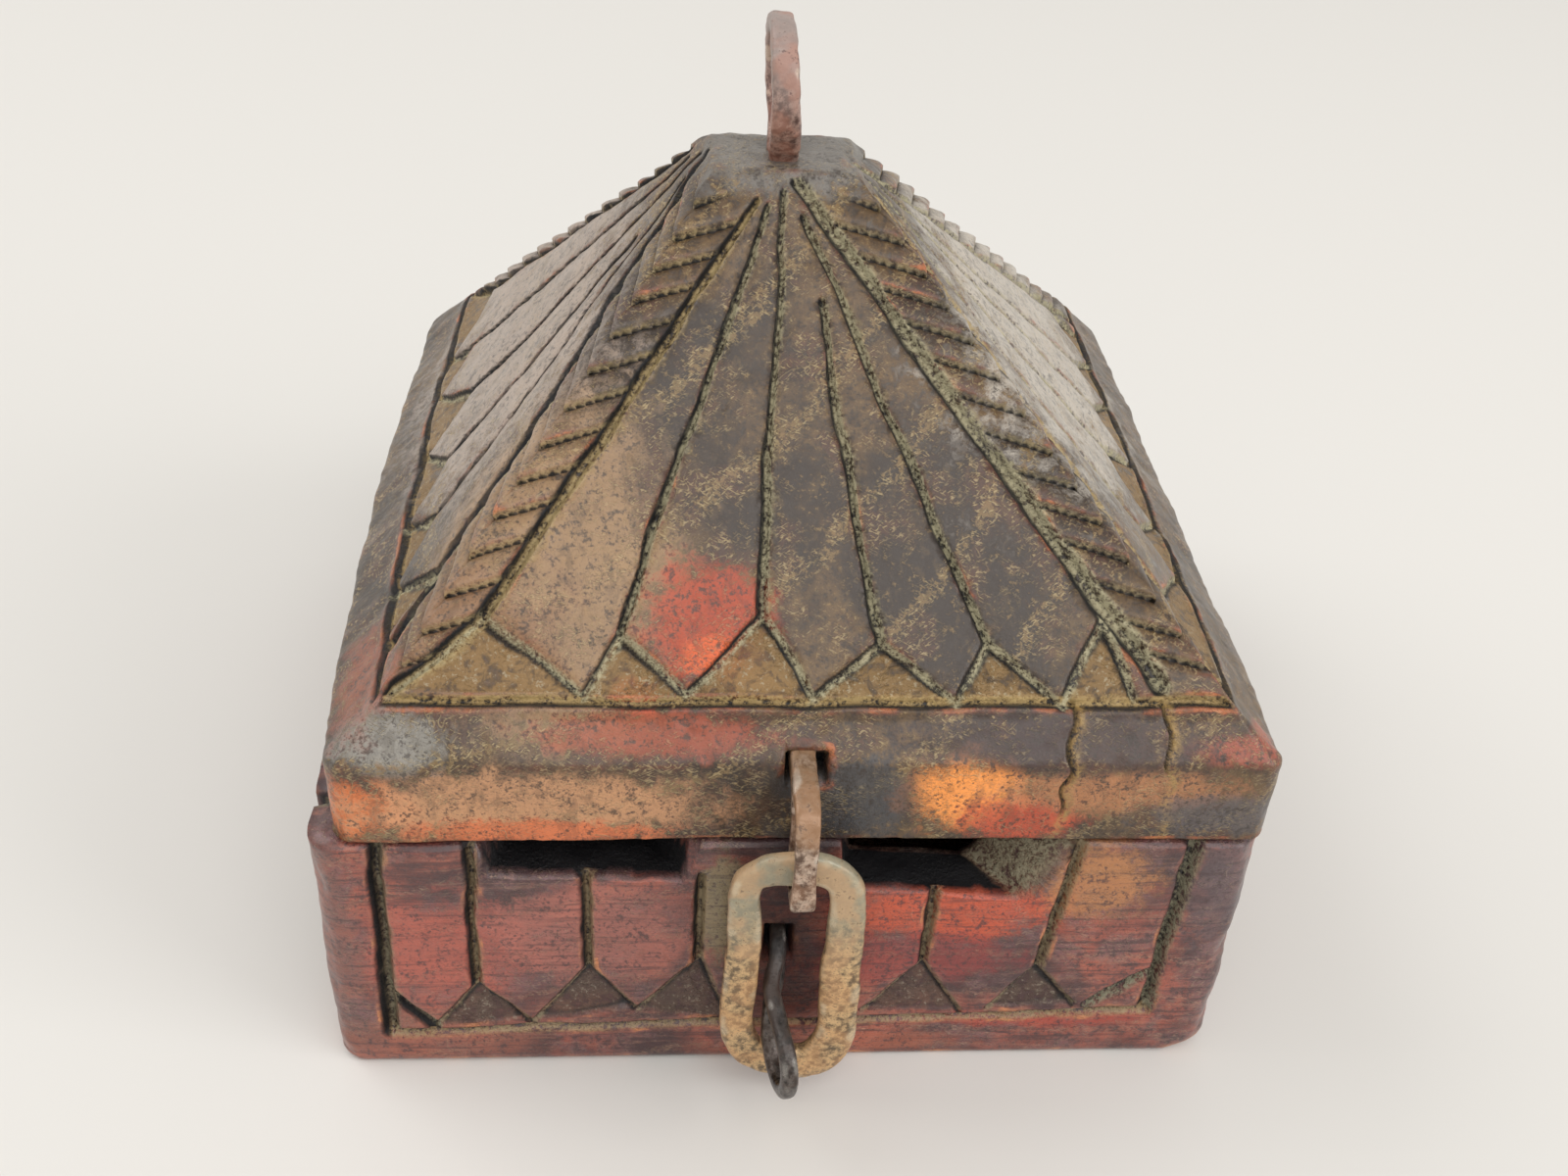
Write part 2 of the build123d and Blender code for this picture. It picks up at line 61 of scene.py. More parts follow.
Colour = tuple[float, float, float]
Point = tuple[float, float, float]
Pair = tuple[float, float]
Line = list[Pair] | tuple[Pair, ...]
Array = np.ndarray
Values = dict[str, Array]
SeamWave = Callable[[Array, Array], Array]

# Surface values of the carving: painted shade, dust, crust and pocket colour.
CARVED_VALUES = ("shade", "dust", "crust", "pocket")
SURFACE_VALUES = ("relief", *CARVED_VALUES)

log = logging.getLogger("powder_box")


def srgb(red: int, green: int, blue: int) -> Colour:
    """Colour from its 0 to 255 screen values, as the linear values that shaders take.

    Args:
        red: Red, 0 to 255.
        green: Green, 0 to 255.
        blue: Blue, 0 to 255.

    Returns:
        The three linear values, 0 to 1.
    """
    screen = np.array([red, green, blue]) / 255.0
    linear = np.where(screen <= 0.04045, screen / 12.92, ((screen + 0.055) / 1.055) ** 2.4)
    return (float(linear[0]), float(linear[1]), float(linear[2]))


def cad_box(node: str) -> tuple[Array, Array]:
    """Lowest and highest corner of a CAD node, in millimetres."""
    low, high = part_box(node)
    return np.array(low) / MILLIMETRE, np.array(high) / MILLIMETRE


def smooth_step(values: Array, low: float, high: float) -> Array:
    """Smooth rise from 0 at low to 1 at high: t squared times (3 - 2t)."""
    share = np.clip((values - low) / (high - low), 0.0, 1.0)
    return share * share * (3.0 - 2.0 * share)


def as_points(x: Array | float, y: Array | float, z: Array | float) -> Array:
    """Places with x, y and z on the last axis, from parts that fit each other's shapes."""
    return np.stack(np.broadcast_arrays(x, y, z), axis=-1)


def unit(vectors: Array) -> Array:
    """The same directions with a length of 1; a length of 0 stays 0."""
    length = np.linalg.norm(vectors, axis=-1, keepdims=True)
    return vectors / np.where(length > 1e-12, length, 1.0)


def rounded_section(count: int, wide_power: float, thick_power: float) -> tuple[Array, Array]:
    """Rounded rectangle whose half sizes are 1.

    The sideways part is the cosine of the angle and the thickness part its sine. Each keeps its sign, and its
    size is taken to a power below 1, which squares the circle up.

    Args:
        count: Places round the section.
        wide_power: Power of the sideways part.
        thick_power: Power of the thickness part.

    Returns:
        The sideways and the thickness part of each place.
    """
    turn = np.arange(count) / count * 2 * np.pi
    parts = ((np.cos(turn), wide_power), (np.sin(turn), thick_power))
    wide, thick = (np.sign(part) * np.abs(part) ** power for part, power in parts)
    return wide, thick


def square_hole(x: Array, z: Array, low: Pair, high: Pair, soft: Pair) -> Array:
    """Square opening with soft edges: the least distance to its four sides, as a smooth rise.

    Args:
        x: Sideways places.
        z: Heights.
        low: Its left and lower edges.
        high: Its right and upper edges.
        soft: How far outside and inside the edge the rise begins and ends.

    Returns:
        1 in the opening and 0 outside.
    """
    across = np.minimum(x - low[0], high[0] - x)
    upward = np.minimum(z - low[1], high[1] - z)
    return smooth_step(np.minimum(across, upward), -soft[0], soft[1])


class ValueNoise:
    """Seeded smooth noise: random values on a repeating lattice, blended along each axis by 3t^2 - 2t^3."""

    lattice = 32
    layer_shift = 17.3

    def __init__(self, seed: int) -> None:
        """Draws the lattice's values from -1 to 1 with the given seed."""
        self.table = np.random.default_rng(seed).uniform(-1.0, 1.0, (self.lattice,) * 3)

    def at(self, points: Array, size: float) -> Array:
        """Noise value at each point.

        Args:
            points: Places in millimetres, with x, y and z on the last axis.
            size: Width of one lattice cell in millimetres.

        Returns:
            One value from -1 to 1 for each point.
        """
        cell = points / size
        corner = np.floor(cell).astype(int)
        part = cell - corner
        part = part * part * (3.0 - 2.0 * part)
        total = np.zeros(points.shape[:-1])
        for step_x in (0, 1):
            for step_y in (0, 1):
                for step_z in (0, 1):
                    weight = np.ones(points.shape[:-1])
                    index = []
                    for axis, step in enumerate((step_x, step_y, step_z)):
                        weight = weight * (part[..., axis] if step else 1.0 - part[..., axis])
                        index.append((corner[..., axis] + step) % self.lattice)
                    total += weight * self.table[index[0], index[1], index[2]]
        return total

    def layered(self, points: Array, size: float, layers: int) -> Array:
        """Sum of noise whose size and height halve from layer to layer.

        Args:
            points: Places in millimetres.
            size: Width of one lattice cell of the first layer.
            layers: How many layers are added.

        Returns:
            The sum at each point, mostly between -1 and 1.
        """
        total = np.zeros(points.shape[:-1])
        for layer in range(layers):
            total += self.at(points + self.layer_shift * layer, size / 2**layer) / 2**layer
        return total


@dataclass(frozen=True)
class Wear:
    """Uneven wear over a whole surface, in millimetres: an even depth plus broad and fine noise."""

    even: float
    broad: float
    broad_size: float
    fine: float
    fine_size: float

    def depth(self, noise: ValueNoise, points: Array) -> Array:
        """Depth at each place, below 0 where the noise outweighs the even part."""
        broad = noise.layered(points, self.broad_size, 2)
        fine = noise.layered(points + 70.0, self.fine_size, 3)
        return self.even + self.broad * broad + self.fine * fine


def segment_distance(x: Array, y: Array, start: Pair, end: Pair) -> Array:
    """Distance from each point to a straight segment: to the nearest point of the clamped projection.

    Args:
        x: Sideways places.
        y: Upward places.
        start: The segment's first end.
        end: Its other end.

    Returns:
        The distances.
    """
    run_x, run_y = end[0] - start[0], end[1] - start[1]
    share = ((x - start[0]) * run_x + (y - start[1]) * run_y) / (run_x**2 + run_y**2)
    share = np.clip(share, 0.0, 1.0)
    return np.hypot(x - start[0] - share * run_x, y - start[1] - share * run_y)


def side_of_line(x: Array, y: Array, points: Line) -> Array:
    """Distance from each point to an open line of straight segments, below 0 on its left on the way down.

    The distance to the nearest segment takes its sign from the segment crossed with the way to the point.

    Args:
        x: Sideways places.
        y: Upward places.
        points: The line's points, from its top to its foot.

    Returns:
        The signed distances.
    """
    signed = np.full(np.broadcast(x, y).shape, np.inf)
    for start, end in zip(points, points[1:]):
        away = segment_distance(x, y, start, end)
        turned = (end[0] - start[0]) * (y - start[1]) - (end[1] - start[1]) * (x - start[0])
        signed = np.where(away < np.abs(signed), np.where(turned < 0, -away, away), signed)
    return signed


def inside_depth(x: Array, y: Array, corners: Line) -> Array:
    """How far each point lies inside a convex outline, as the least distance to its side lines.

    Args:
        x: Sideways places.
        y: Upward places.
        corners: The outline's corners, anticlockwise.

    Returns:
        Distance inside, negative outside.
    """
    least = np.full(np.broadcast(x, y).shape, np.inf)
    for start, end in zip(corners, corners[1:] + corners[:1]):
        run_x, run_y = end[0] - start[0], end[1] - start[1]
        side = (run_x * (y - start[1]) - run_y * (x - start[0])) / np.hypot(run_x, run_y)
        least = np.minimum(least, side)
    return least


def closed_curve(points: Line, count: int) -> Array:
    """Smooth closed curve through a few points, by Catmull-Rom pieces.

    Each piece between points b and c, with neighbours a and d, is
    half of 2b + (c-a)t + (2a-5b+4c-d)t^2 + (3b-a-3c+d)t^3.

    Args:
        points: Points that the curve passes through, in order.
        count: How many places to return round the curve.

    Returns:
        Array of count places, without the first one repeated.
    """
    corner = np.array(points, float)
    along = np.arange(count) / count * len(corner)
    index = along.astype(int)
    t = (along - index)[:, None]
    a, b, c, d = (corner[(index + shift) % len(corner)] for shift in (-1, 0, 1, 2))
    return 0.5 * (2 * b + (c - a) * t + (2 * a - 5 * b + 4 * c - d) * t**2 + (3 * b - a - 3 * c + d) * t**3)


def open_curve(points: Line, step: float) -> Array:
    """Smooth open curve near a few control points: a uniform cubic B-spline with clamped ends.

    Args:
        points: Control points; the curve starts and ends on the first and the last.
        step: Distance between the returned places.

    Returns:
        Places along the curve, evenly spaced.
    """
    control = np.array(points, float)
    control = np.vstack([2 * control[0] - control[1], control, 2 * control[-1] - control[-2]])
    fine = np.linspace(0, len(control) - 3 - 1e-9, SPLINE_PLACES)
    index = fine.astype(int)
    t = (fine - index)[:, None]
    a, b, c, d = (control[index + shift] for shift in range(4))
    curve = ((1 - t)**3 * a + (3 * t**3 - 6 * t**2 + 4) * b + (3 * t * (1 + t - t**2) + 1) * c + t**3 * d) / 6
    length = np.concatenate([[0.0], np.cumsum(np.hypot(*np.diff(curve, axis=0).T))])
    places = np.linspace(0, length[-1], max(int(length[-1] / step), 2))
    return np.stack([np.interp(places, length, curve[:, axis]) for axis in range(curve.shape[1])], axis=1)


def add_object(name: str, data: bpy.types.ID) -> bpy.types.Object:
    """Adds an object that holds the given data to the scene."""
    added = bpy.data.objects.new(name, data)
    bpy.context.scene.collection.objects.link(added)
    return added


class Shell:
    """One closed surface, gathered part by part from wrapped grids, poles and loose triangles."""

    def __init__(self) -> None:
        """Starts an empty surface."""
        self.points: list[Array] = []
        self.values: dict[str, list[Array]] = {}
        self.faces: list[Array] = []
        self.count = 0

    def add_points(self, points: Array, values: Values) -> Array:
        """Adds places and their surface values, and returns their numbers in the same arrangement.

        Args:
            points: Places, with x, y and z on the last axis.
            values: Surface values by name, each in the arrangement of the places.

        Returns:
            The vertex numbers.
        """
        shape = points.shape[:-1]
        total = int(np.prod(shape))
        for name, column in values.items():
            self.values.setdefault(name, [np.zeros(self.count)] if self.count else [])
            self.values[name].append(np.broadcast_to(column, shape).reshape(-1))
        for name, column in self.values.items():
            if name not in values:
                column.append(np.zeros(total))
        self.points.append(points.reshape(-1, 3))
        numbers = np.arange(self.count, self.count + total).reshape(shape)
        self.count += total
        return numbers

    def add_grid(self, points: Array, values: Values) -> Array:
        """Adds a grid whose columns wrap round, with a square between each four neighbours.

        Args:
            points: Places by row and column.
            values: Surface values by name.

        Returns:
            The vertex numbers by row and column.
        """
        numbers = self.add_points(points, values)
        beside = np.roll(numbers, -1, axis=1)
        squares = np.stack([numbers[:-1], beside[:-1], beside[1:], numbers[1:]], axis=-1).reshape(-1, 4)
        self.faces.append(squares)
        return numbers

    def close_end(self, ring: Array, at_start: bool) -> None:
        """Closes a grid's first or last row with a fan to the middle of that row.

        Args:
            ring: Vertex numbers of the row.
            at_start: True for the first row, whose fan is turned the other way.
        """
        middle = np.concatenate(self.points)[ring].mean(axis=0)
        means = {
            name: np.array([np.concatenate(column)[ring].mean()])
            for name, column in self.values.items()
        }
        pole = self.add_points(middle[None], means)[0]
        beside = np.roll(ring, -1)
        pair = (beside, ring) if at_start else (ring, beside)
        self.faces.append(np.stack([*pair, np.full(len(ring), pole)], axis=-1))

    def add_capped_grid(self, points: Array, values: Values) -> None:
        """Adds a wrapped grid and closes its first and its last row."""
        numbers = self.add_grid(points, values)
        self.close_end(numbers[0], at_start=True)
        self.close_end(numbers[-1], at_start=False)

    def add_ring(self, points: Array, values: Values) -> None:
        """Adds a grid whose rows wrap round as its columns do.

        Args:
            points: Places by row and column.
            values: Surface values by name.
        """
        numbers = self.add_points(points, values)
        ahead = np.roll(numbers, -1, axis=0)
        corners = [numbers, ahead, np.roll(ahead, -1, axis=1), np.roll(numbers, -1, axis=1)]
        self.faces.append(np.stack(corners, axis=-1).reshape(-1, 4))

    def add_triangles(self, triangles: Array) -> None:
        """Adds triangles between vertices that are there already."""
        self.faces.append(triangles)

    def to_piece(self, name: str, material: bpy.types.Material) -> bpy.types.Object:
        """Makes the Blender object, thinned by collapsing edges where it has more than the most triangles.

        Args:
            name: The object's name.
            material: Its material.

        Returns:
            The object, with its place in its mesh.
        """
        mesh = bpy.data.meshes.new(name)
        points = np.concatenate(self.points) * MILLIMETRE
        sizes = np.concatenate([np.full(len(block), block.shape[1]) for block in self.faces])
        corners = np.concatenate([block.reshape(-1) for block in self.faces])
        mesh.vertices.add(len(points))
        mesh.vertices.foreach_set("co", points.reshape(-1))
        mesh.loops.add(len(corners))
        mesh.loops.foreach_set("vertex_index", corners.astype(np.int32))
        mesh.polygons.add(len(sizes))
        mesh.polygons.foreach_set("loop_start", (np.cumsum(sizes) - sizes).astype(np.int32))
        mesh.polygons.foreach_set("use_smooth", np.ones(len(sizes), bool))
        for label, column in self.values.items():
            attribute = mesh.attributes.new(label, "FLOAT", "POINT")
            attribute.data.foreach_set("value", np.concatenate(column).astype(np.float32))
        mesh.update(calc_edges=True)
        mesh.validate()
        piece = add_object(name, mesh)
        triangles = int((sizes - 2).sum())
        if triangles > MOST_TRIANGLES:
            thin_out(piece, MOST_TRIANGLES / triangles)
        piece.data.materials.append(material)
        return piece


def thin_out(piece: bpy.types.Object, share: float) -> None:
    """Collapses edges of a piece until only a share of its triangles is left, and keeps the result.

    Args:
        piece: The piece.
        share: Share of its triangles that is left.
    """
    modifier = piece.modifiers.new("thin", "DECIMATE")
    modifier.ratio = share
    settled = piece.evaluated_get(bpy.context.evaluated_depsgraph_get())
    thinned = bpy.data.meshes.new_from_object(settled)
    thinned.name = piece.name
    piece.modifiers.clear()
    piece.data = thinned


def settle(piece: bpy.types.Object, body: str, slot: str, *nodes: str) -> None:
    """Puts a finished piece on its body and in place of its CAD nodes."""
    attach(piece, body)
    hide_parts(*nodes)


def find_socket(sockets: bpy.types.bpy_prop_collection, key: int | str) -> bpy.types.NodeSocket:
    """Socket of a node by its number, its identifier or its name.

    Args:
        sockets: The node's inputs or outputs.
        key: The number, identifier or name.

    Returns:
        The socket.
    """
    if isinstance(key, int):
        return sockets[key]
    for socket in sockets:
        if socket.identifier == key:
            return socket
    return sockets[key]


class Signal:
    """A number that varies over a surface; Python's operators on it add Math nodes."""

    def __init__(self, board: "Board", socket: bpy.types.NodeSocket) -> None:
        """Wraps a node's output socket."""
        self.board = board
        self.socket = socket

    def _math(self, operation: str, first: object, second: object = 0.0) -> "Signal":
        """Adds one Math node and wraps its output."""
        return self.board.out("ShaderNodeMath", {"operation": operation}, {0: first, 1: second})

    def __add__(self, other: object) -> "Signal":
        """Sum."""
        return self._math("ADD", self, other)

    __radd__ = __add__

    def __sub__(self, other: object) -> "Signal":
        """Difference."""
        return self._math("SUBTRACT", self, other)

    def __rsub__(self, other: object) -> "Signal":
        """Difference from a number."""
        return self._math("SUBTRACT", other, self)

    def __mul__(self, other: object) -> "Signal":
        """Product."""
        return self._math("MULTIPLY", self, other)

    __rmul__ = __mul__

    def __neg__(self) -> "Signal":
        """Opposite."""
        return self._math("MULTIPLY", self, -1.0)

    def higher(self, other: object) -> "Signal":
        """The larger of two values."""
        return self._math("MAXIMUM", self, other)

    def magnitude(self) -> "Signal":
        """The value without its sign."""
        return self._math("ABSOLUTE", self)

    def rise(self, low: float, high: float) -> "Signal":
        """Smooth rise from 0 at low to 1 at high, or a fall where low is above high."""
        ends = (low, high, 0.0, 1.0) if low < high else (high, low, 1.0, 0.0)
        sockets = dict(zip(("Value", "From Min", "From Max", "To Min", "To Max"), (self, *ends)))
        return self.board.out("ShaderNodeMapRange", {"interpolation_type": "SMOOTHSTEP"}, sockets)


class Board:
    """Node tree of a material or of the world, with one method that adds any node."""

    def __init__(self, owner: bpy.types.Material | bpy.types.World) -> None:
        """Empties the owner's node tree."""
        self.owner = owner
        owner.use_nodes = True
        self.tree = owner.node_tree
        self.tree.nodes.clear()

    def node(self, kind: str, settings: dict, sockets: dict) -> bpy.types.Node:
        """Adds a node.

        Args:
            kind: The node's type name.
            settings: Properties set first, by name.
            sockets: Values or links of its inputs, by number, identifier or name.

        Returns:
            The node.
        """
        node = self.tree.nodes.new(kind)
        for name, value in settings.items():
            setattr(node, name, value)
        for key, value in sockets.items():
            socket = find_socket(node.inputs, key)
            source = value.socket if isinstance(value, Signal) else value
            if isinstance(source, bpy.types.NodeSocket):
                self.tree.links.new(source, socket)
            elif socket.type == "RGBA" and len(source) == 3:
                socket.default_value = (*source, 1.0)
            else:
                socket.default_value = source
        return node

    def out(self, kind: str, settings: dict, sockets: dict, output: int | str = 0) -> Signal:
        """Adds a node and wraps one of its outputs."""
        return Signal(self, find_socket(self.node(kind, settings, sockets).outputs, output))

    def vector_math(self, operation: str, *inputs: object, output: int | str = 0) -> Signal:
        """Adds one Vector Math node and wraps one of its outputs."""
        return self.out("ShaderNodeVectorMath", {"operation": operation}, dict(enumerate(inputs)), output)

    def place(self) -> Signal:
        """Object coordinates in millimetres."""
        coordinates = self.out("ShaderNodeTexCoord", {}, {}, "Object")
        return self.scaled(coordinates, (1 / MILLIMETRE,) * 3)

    def scaled(self, vector: Signal, factors: Point) -> Signal:
        """A vector whose x, y and z are each multiplied by a factor."""
        return self.vector_math("MULTIPLY", vector, factors)

    def distance(self, vector: Signal, centre: Point, factors: Point) -> Signal:
        """Distance from a centre, after each axis is multiplied by a factor."""
        moved = self.vector_math("SUBTRACT", vector, centre)
        return self.vector_math("LENGTH", self.scaled(moved, factors), output="Value")

    def value_of(self, attribute: str) -> Signal:
        """A surface value that the mesh holds."""
        return self.out("ShaderNodeAttribute", {"attribute_name": attribute}, {}, "Fac")

    def noise(self, vector: Signal, size: float, detail: float, rough: float, warp: float = 0.0) -> Signal:
        """Noise of a size in millimetres, about 0.5 on average.

        Args:
            vector: Coordinates in millimetres.
            size: Size of its largest features.
            detail: How many finer layers are added.
            rough: How strong the finer layers are.
            warp: How far the pattern is distorted.

        Returns:
            The noise value, mostly 0.25 to 0.75.
        """
        sockets = {"Vector": vector, "Scale": 1 / size, "Detail": detail}
        sockets.update({"Roughness": rough, "Distortion": warp})
        return self.out("ShaderNodeTexNoise", {}, sockets, "Fac")

    def hairs(self, vector: Signal, size: float, width: float) -> Signal:
        """Fine wavy lines: 1 where a noise of a size passes its middle value, falling to 0 within a width."""
        return (self.noise(vector, size, 2.0, 0.5, 0.4) - 0.5).magnitude().rise(width, 0.0)

    def strokes(self, vector: Signal, turn: float) -> Signal:
        """Short fine strokes, 1 mm by 0.2 mm, turned by an angle about the front-to-back axis."""
        sockets = {"Vector": vector, "Angle": turn}
        turned = self.out("ShaderNodeVectorRotate", {"rotation_type": "Y_AXIS"}, sockets)
        return self.noise(self.scaled(turned, (0.5, 0.8, 2.4)), 0.55, 1.0, 0.5).rise(0.57, 0.67)

    def rings(self, vector: Signal, centre: Point, gap: float, wander: Signal) -> Signal:
        """Growth rings of the wood: thin lines at even distances from an axis that runs front to back.

        Args:
            vector: Coordinates in millimetres.
            centre: A point on the axis.
            gap: Distance from ring to ring.
            wander: Noise that moves the rings in and out.

        Returns:
            1 on a ring, 0 between two.
        """
        radius = self.distance(vector, centre, (1.0, 0.0, 1.0))
        sockets = {0: radius + wander * 6.0, 1: gap / 2}
        return self.out("ShaderNodeMath", {"operation": "PINGPONG"}, sockets).rise(0.16 * gap, 0.0)

    def blend(self, factor: Signal, first: object, second: object) -> Signal:
        """Mixes two colours by a factor."""
        sockets = {"Factor_Float": factor, "A_Color": first, "B_Color": second}
        return self.out("ShaderNodeMix", {"data_type": "RGBA"}, sockets, "Result_Color")

    def painted(self, base: Colour, layers: list[tuple[Signal, Colour]]) -> Signal:
        """A colour built up from a base, where each layer covers what is below it by its share.

        Args:
            base: The lowest colour.
            layers: Share and colour of each layer, from the lowest up.

        Returns:
            The colour.
        """
        colour = base
        for share, tone in layers:
            colour = self.blend(share, colour, tone)
        return colour

    def patch(self, vector: Signal, centre: Point, reach: Point, ragged: Signal) -> Signal:
        """Soft-edged ellipsoid round a place, with its edge made ragged by noise.

        Args:
            vector: Coordinates in millimetres.
            centre: Middle of the patch.
            reach: Its half sizes along x, y and z.
            ragged: Noise that pushes the edge in and out.

        Returns:
            1 inside the patch and 0 outside.
        """
        radius = self.distance(vector, centre, (1 / reach[0], 1 / reach[1], 1 / reach[2]))
        return (radius + (ragged - 0.5) * 3.6).rise(1.2, 0.65)

    def finish(
        self, colour: Signal, rough: Signal, height: Signal, relief: float, constants: dict, **more: object
    ) -> bpy.types.Material:
        """Closes the tree with a Bump node and the surface shader.

        Args:
            colour: Base colour.
            rough: Roughness.
            height: Bump height, 0 to 1.
            relief: Height of the bump in millimetres.
            constants: Shader sockets that are the same all over.
            more: Other varying sockets by name, with _ for a space.

        Returns:
            The material.
        """
        bump_sockets = {"Height": height, "Distance": relief * MILLIMETRE, "Strength": 1.0}
        bump = self.out("ShaderNodeBump", {}, bump_sockets, "Normal")
        sockets = {"Base Color": colour, "Roughness": rough, "Normal": bump, **constants}
        sockets.update({name.replace("_", " "): value for name, value in more.items()})
        shader = self.out("ShaderNodeBsdfPrincipled", {}, sockets, "BSDF")
        self.node("ShaderNodeOutputMaterial", {}, {"Surface": shader})
        return self.owner


@dataclass(frozen=True)
class Stain:
    """A patch where the wood's colour changes, as where hands have worn it or dust has stuck; a few pale ones
    are painted sheen.
    """

    centre: Point
    reach: Point
    colour: Colour
    strength: float


@dataclass(frozen=True)
class WoodFinish:
    """Old oiled wood: grain, hairlines, dust and painted shade in the carving, bright wear on the edges and a
    waxy sheen.
    """

    name: str
    dark: Colour
    light: Colour
    warm: Colour
    fleck: Colour
    hair: Colour
    # Colour of the painted shade.
    shade: Colour
    dust: Colour
    crust: Colour
    pocket: Colour
    speckle: Colour
    worn: Colour
    bright: Colour
    grain_stretch: Point
    grain_share: float
    fleck_share: float
    hair_share: float
    wear_share: float
    sheen: float
    ring_centre: Point
    ring_gap: float
    stains: tuple[Stain, ...]

    def build(self) -> bpy.types.Material:
        """Builds the material.

        Tones are mixed by large noise and the grain by noise stretched along the fibres. Dust, painted shade
        and wear
        follow the surface values of the mesh: its relief is above 0 in hollows, which get painted shade, and
        below 0 on edges.

        Returns:
            The wood material.
        """
        board = Board(bpy.data.materials.new(self.name))
        place = board.place()
        relief, shade, dust, crust, pocket = (board.value_of(name) for name in SURFACE_VALUES)
        broad = board.noise(place, 24.0, 3.0, 0.6, 0.4)
        patchy = board.noise(place, 8.0, 4.0, 0.6, 0.3)
        mottle = board.noise(place, 2.4, 4.0, 0.65, 0.5)
        fine = board.noise(place, 0.7, 3.0, 0.7)
        grain = board.noise(board.scaled(place, self.grain_stretch), 2.0, 4.0, 0.65, 0.6)
        rings = board.rings(place, self.ring_centre, self.ring_gap, patchy)
        flecks = (fine * 0.6 + mottle * 0.35 + rings * 0.1).rise(0.53, 0.62)
        strokes = board.strokes(place, 0.5).higher(board.strokes(place, -0.35))
        strokes = strokes * (mottle * 0.4 + patchy * 0.6 + rings * 0.14).rise(0.45, 0.6)
        long_hairs = board.hairs(place, 6.0, 0.01) * patchy.rise(0.53, 0.6)
        edge = (-relief + (mottle - 0.5) * 0.3).rise(0.05, 0.28)
        # Painted shade in the hollows, where the relief is above 0.
        hollow = (relief + (fine - 0.5) * 0.1).rise(0.08, 0.34)
        in_pocket = pocket * (mottle + 0.1).rise(0.34, 0.56)
        crusty = crust * (fine * 0.7 + mottle * 0.5).rise(0.48, 0.66)
        dusty = dust * (fine * 0.75 + mottle * 0.45).rise(0.48, 0.66)
        ragged = patchy * 0.35 + mottle * 0.4 + fine * 0.25
        bare_wood = [
            (broad.rise(0.4, 0.6), self.light),
            (patchy.rise(0.46, 0.64) * 0.8, self.warm),
            (mottle.rise(0.56, 0.36) * 0.45, self.dark),
            (grain.rise(0.5, 0.66) * self.grain_share, self.dark),
            (grain.rise(0.46, 0.36) * self.grain_share * 0.4, self.fleck),
            (flecks * self.fleck_share, self.fleck),
            (strokes * self.hair_share, self.hair),
        ]
        stains = [
            (board.patch(place, stain.centre, stain.reach, ragged) * stain.strength, stain.colour)
            for stain in self.stains
        ]
        grain_over_stains = [
            (grain.rise(0.52, 0.64) * self.grain_share, self.dark),
            ((mottle * 0.4 + fine * 0.6).rise(0.5, 0.38) * 0.8, self.dark),
            (strokes * self.hair_share * 0.5, self.hair),
            (long_hairs * self.hair_share, self.hair),
        ]
        worn_edges = [
            (edge * self.wear_share * patchy.rise(0.44, 0.62), self.worn),
            ((edge * patchy).rise(0.52, 0.66) * self.wear_share, self.bright),
        ]
        in_the_carving = [
            (in_pocket * 0.85, self.pocket),
            (pocket * mottle.rise(0.52, 0.38) * 0.6, self.dark),
            (pocket * (fine * 0.8 + mottle * 0.3).rise(0.6, 0.7) * 0.4, self.speckle),
            # Painted shade in hollows, grooves, holes, cracks, scoops and under the leaves.
            (hollow.higher(shade * 1.2 - 0.1) * 0.92, self.shade),
            (crusty, self.crust),
            (dusty, self.dust),
        ]
        layers = bare_wood + stains + grain_over_stains + worn_edges + in_the_carving
        rough = 0.46 + (fine - 0.5) * 0.5 + (mottle - 0.5) * 0.3 + shade * 0.2 + dusty * 0.2
        height = mottle * 0.5 + fine * 0.4 + strokes * 0.3 + long_hairs * 0.2 + dusty * 0.3 + grain * 0.15
        waxed = (self.sheen - shade * 0.8 - dusty * 0.6 - in_pocket * 0.4).higher(0.0)
        constants = {"Specular IOR Level": 0.35, "Coat Roughness": 0.28}
        colour = board.painted(self.dark, layers)
        return board.finish(colour, rough, height, 0.5, constants, Coat_Weight=waxed)


@dataclass(frozen=True)
class IronFinish:
    """Forged iron: scale, rust, patina by height and edges polished by use."""

    name: str
    scale: Colour
    metal: Colour
    rust: Colour
    patina: Colour
    polish: Colour
    patina_from: float
    patina_to: float
    rust_share: float
    metallic: float
    roughness: float

    def build(self) -> bpy.types.Material:
        """Builds the material.

        The patina rises smoothly between two heights, the rust follows noise, and the polish follows the
        relief value of the mesh, which is below 0 on edges.

        Returns:
            The iron material.
        """
        board = Board(bpy.data.materials.new(self.name))
        place = board.place()
        relief = board.value_of("relief")
        height = board.out("ShaderNodeSeparateXYZ", {}, {0: place}, "Z")
        broad = board.noise(place, 7.0, 3.0, 0.6, 0.3)
        fine = board.noise(place, 1.3, 4.0, 0.65)
        grit = board.noise(place, 0.45, 2.0, 0.6)
        pits = (fine * 0.6 + grit * 0.4).rise(0.56, 0.64)
        patina = (height + (broad - 0.5) * 22.0).rise(self.patina_from, self.patina_to)
        rusty = broad.rise(0.44, 0.6) * self.rust_share
        edge = (-relief + (fine - 0.5) * 0.2).rise(0.12, 0.45)
        layers = [
            (fine.rise(0.38, 0.62), self.metal),
            (patina * 0.85, self.patina),
            (rusty, self.rust),
            (pits * 0.7, self.scale),
            (edge * 0.55, self.polish),
        ]
        colour = board.painted(self.scale, layers)
        rough = self.roughness + (fine - 0.5) * 0.3 + rusty * 0.2 - edge * 0.12
        metal = self.metallic - rusty * 0.5 - patina * 0.25 + edge * 0.15
        bump = fine * 0.7 + grit * 0.3 - pits * 0.3
        return board.finish(colour, rough, bump, 0.14, {"Specular IOR Level": 0.5}, Metallic=metal)


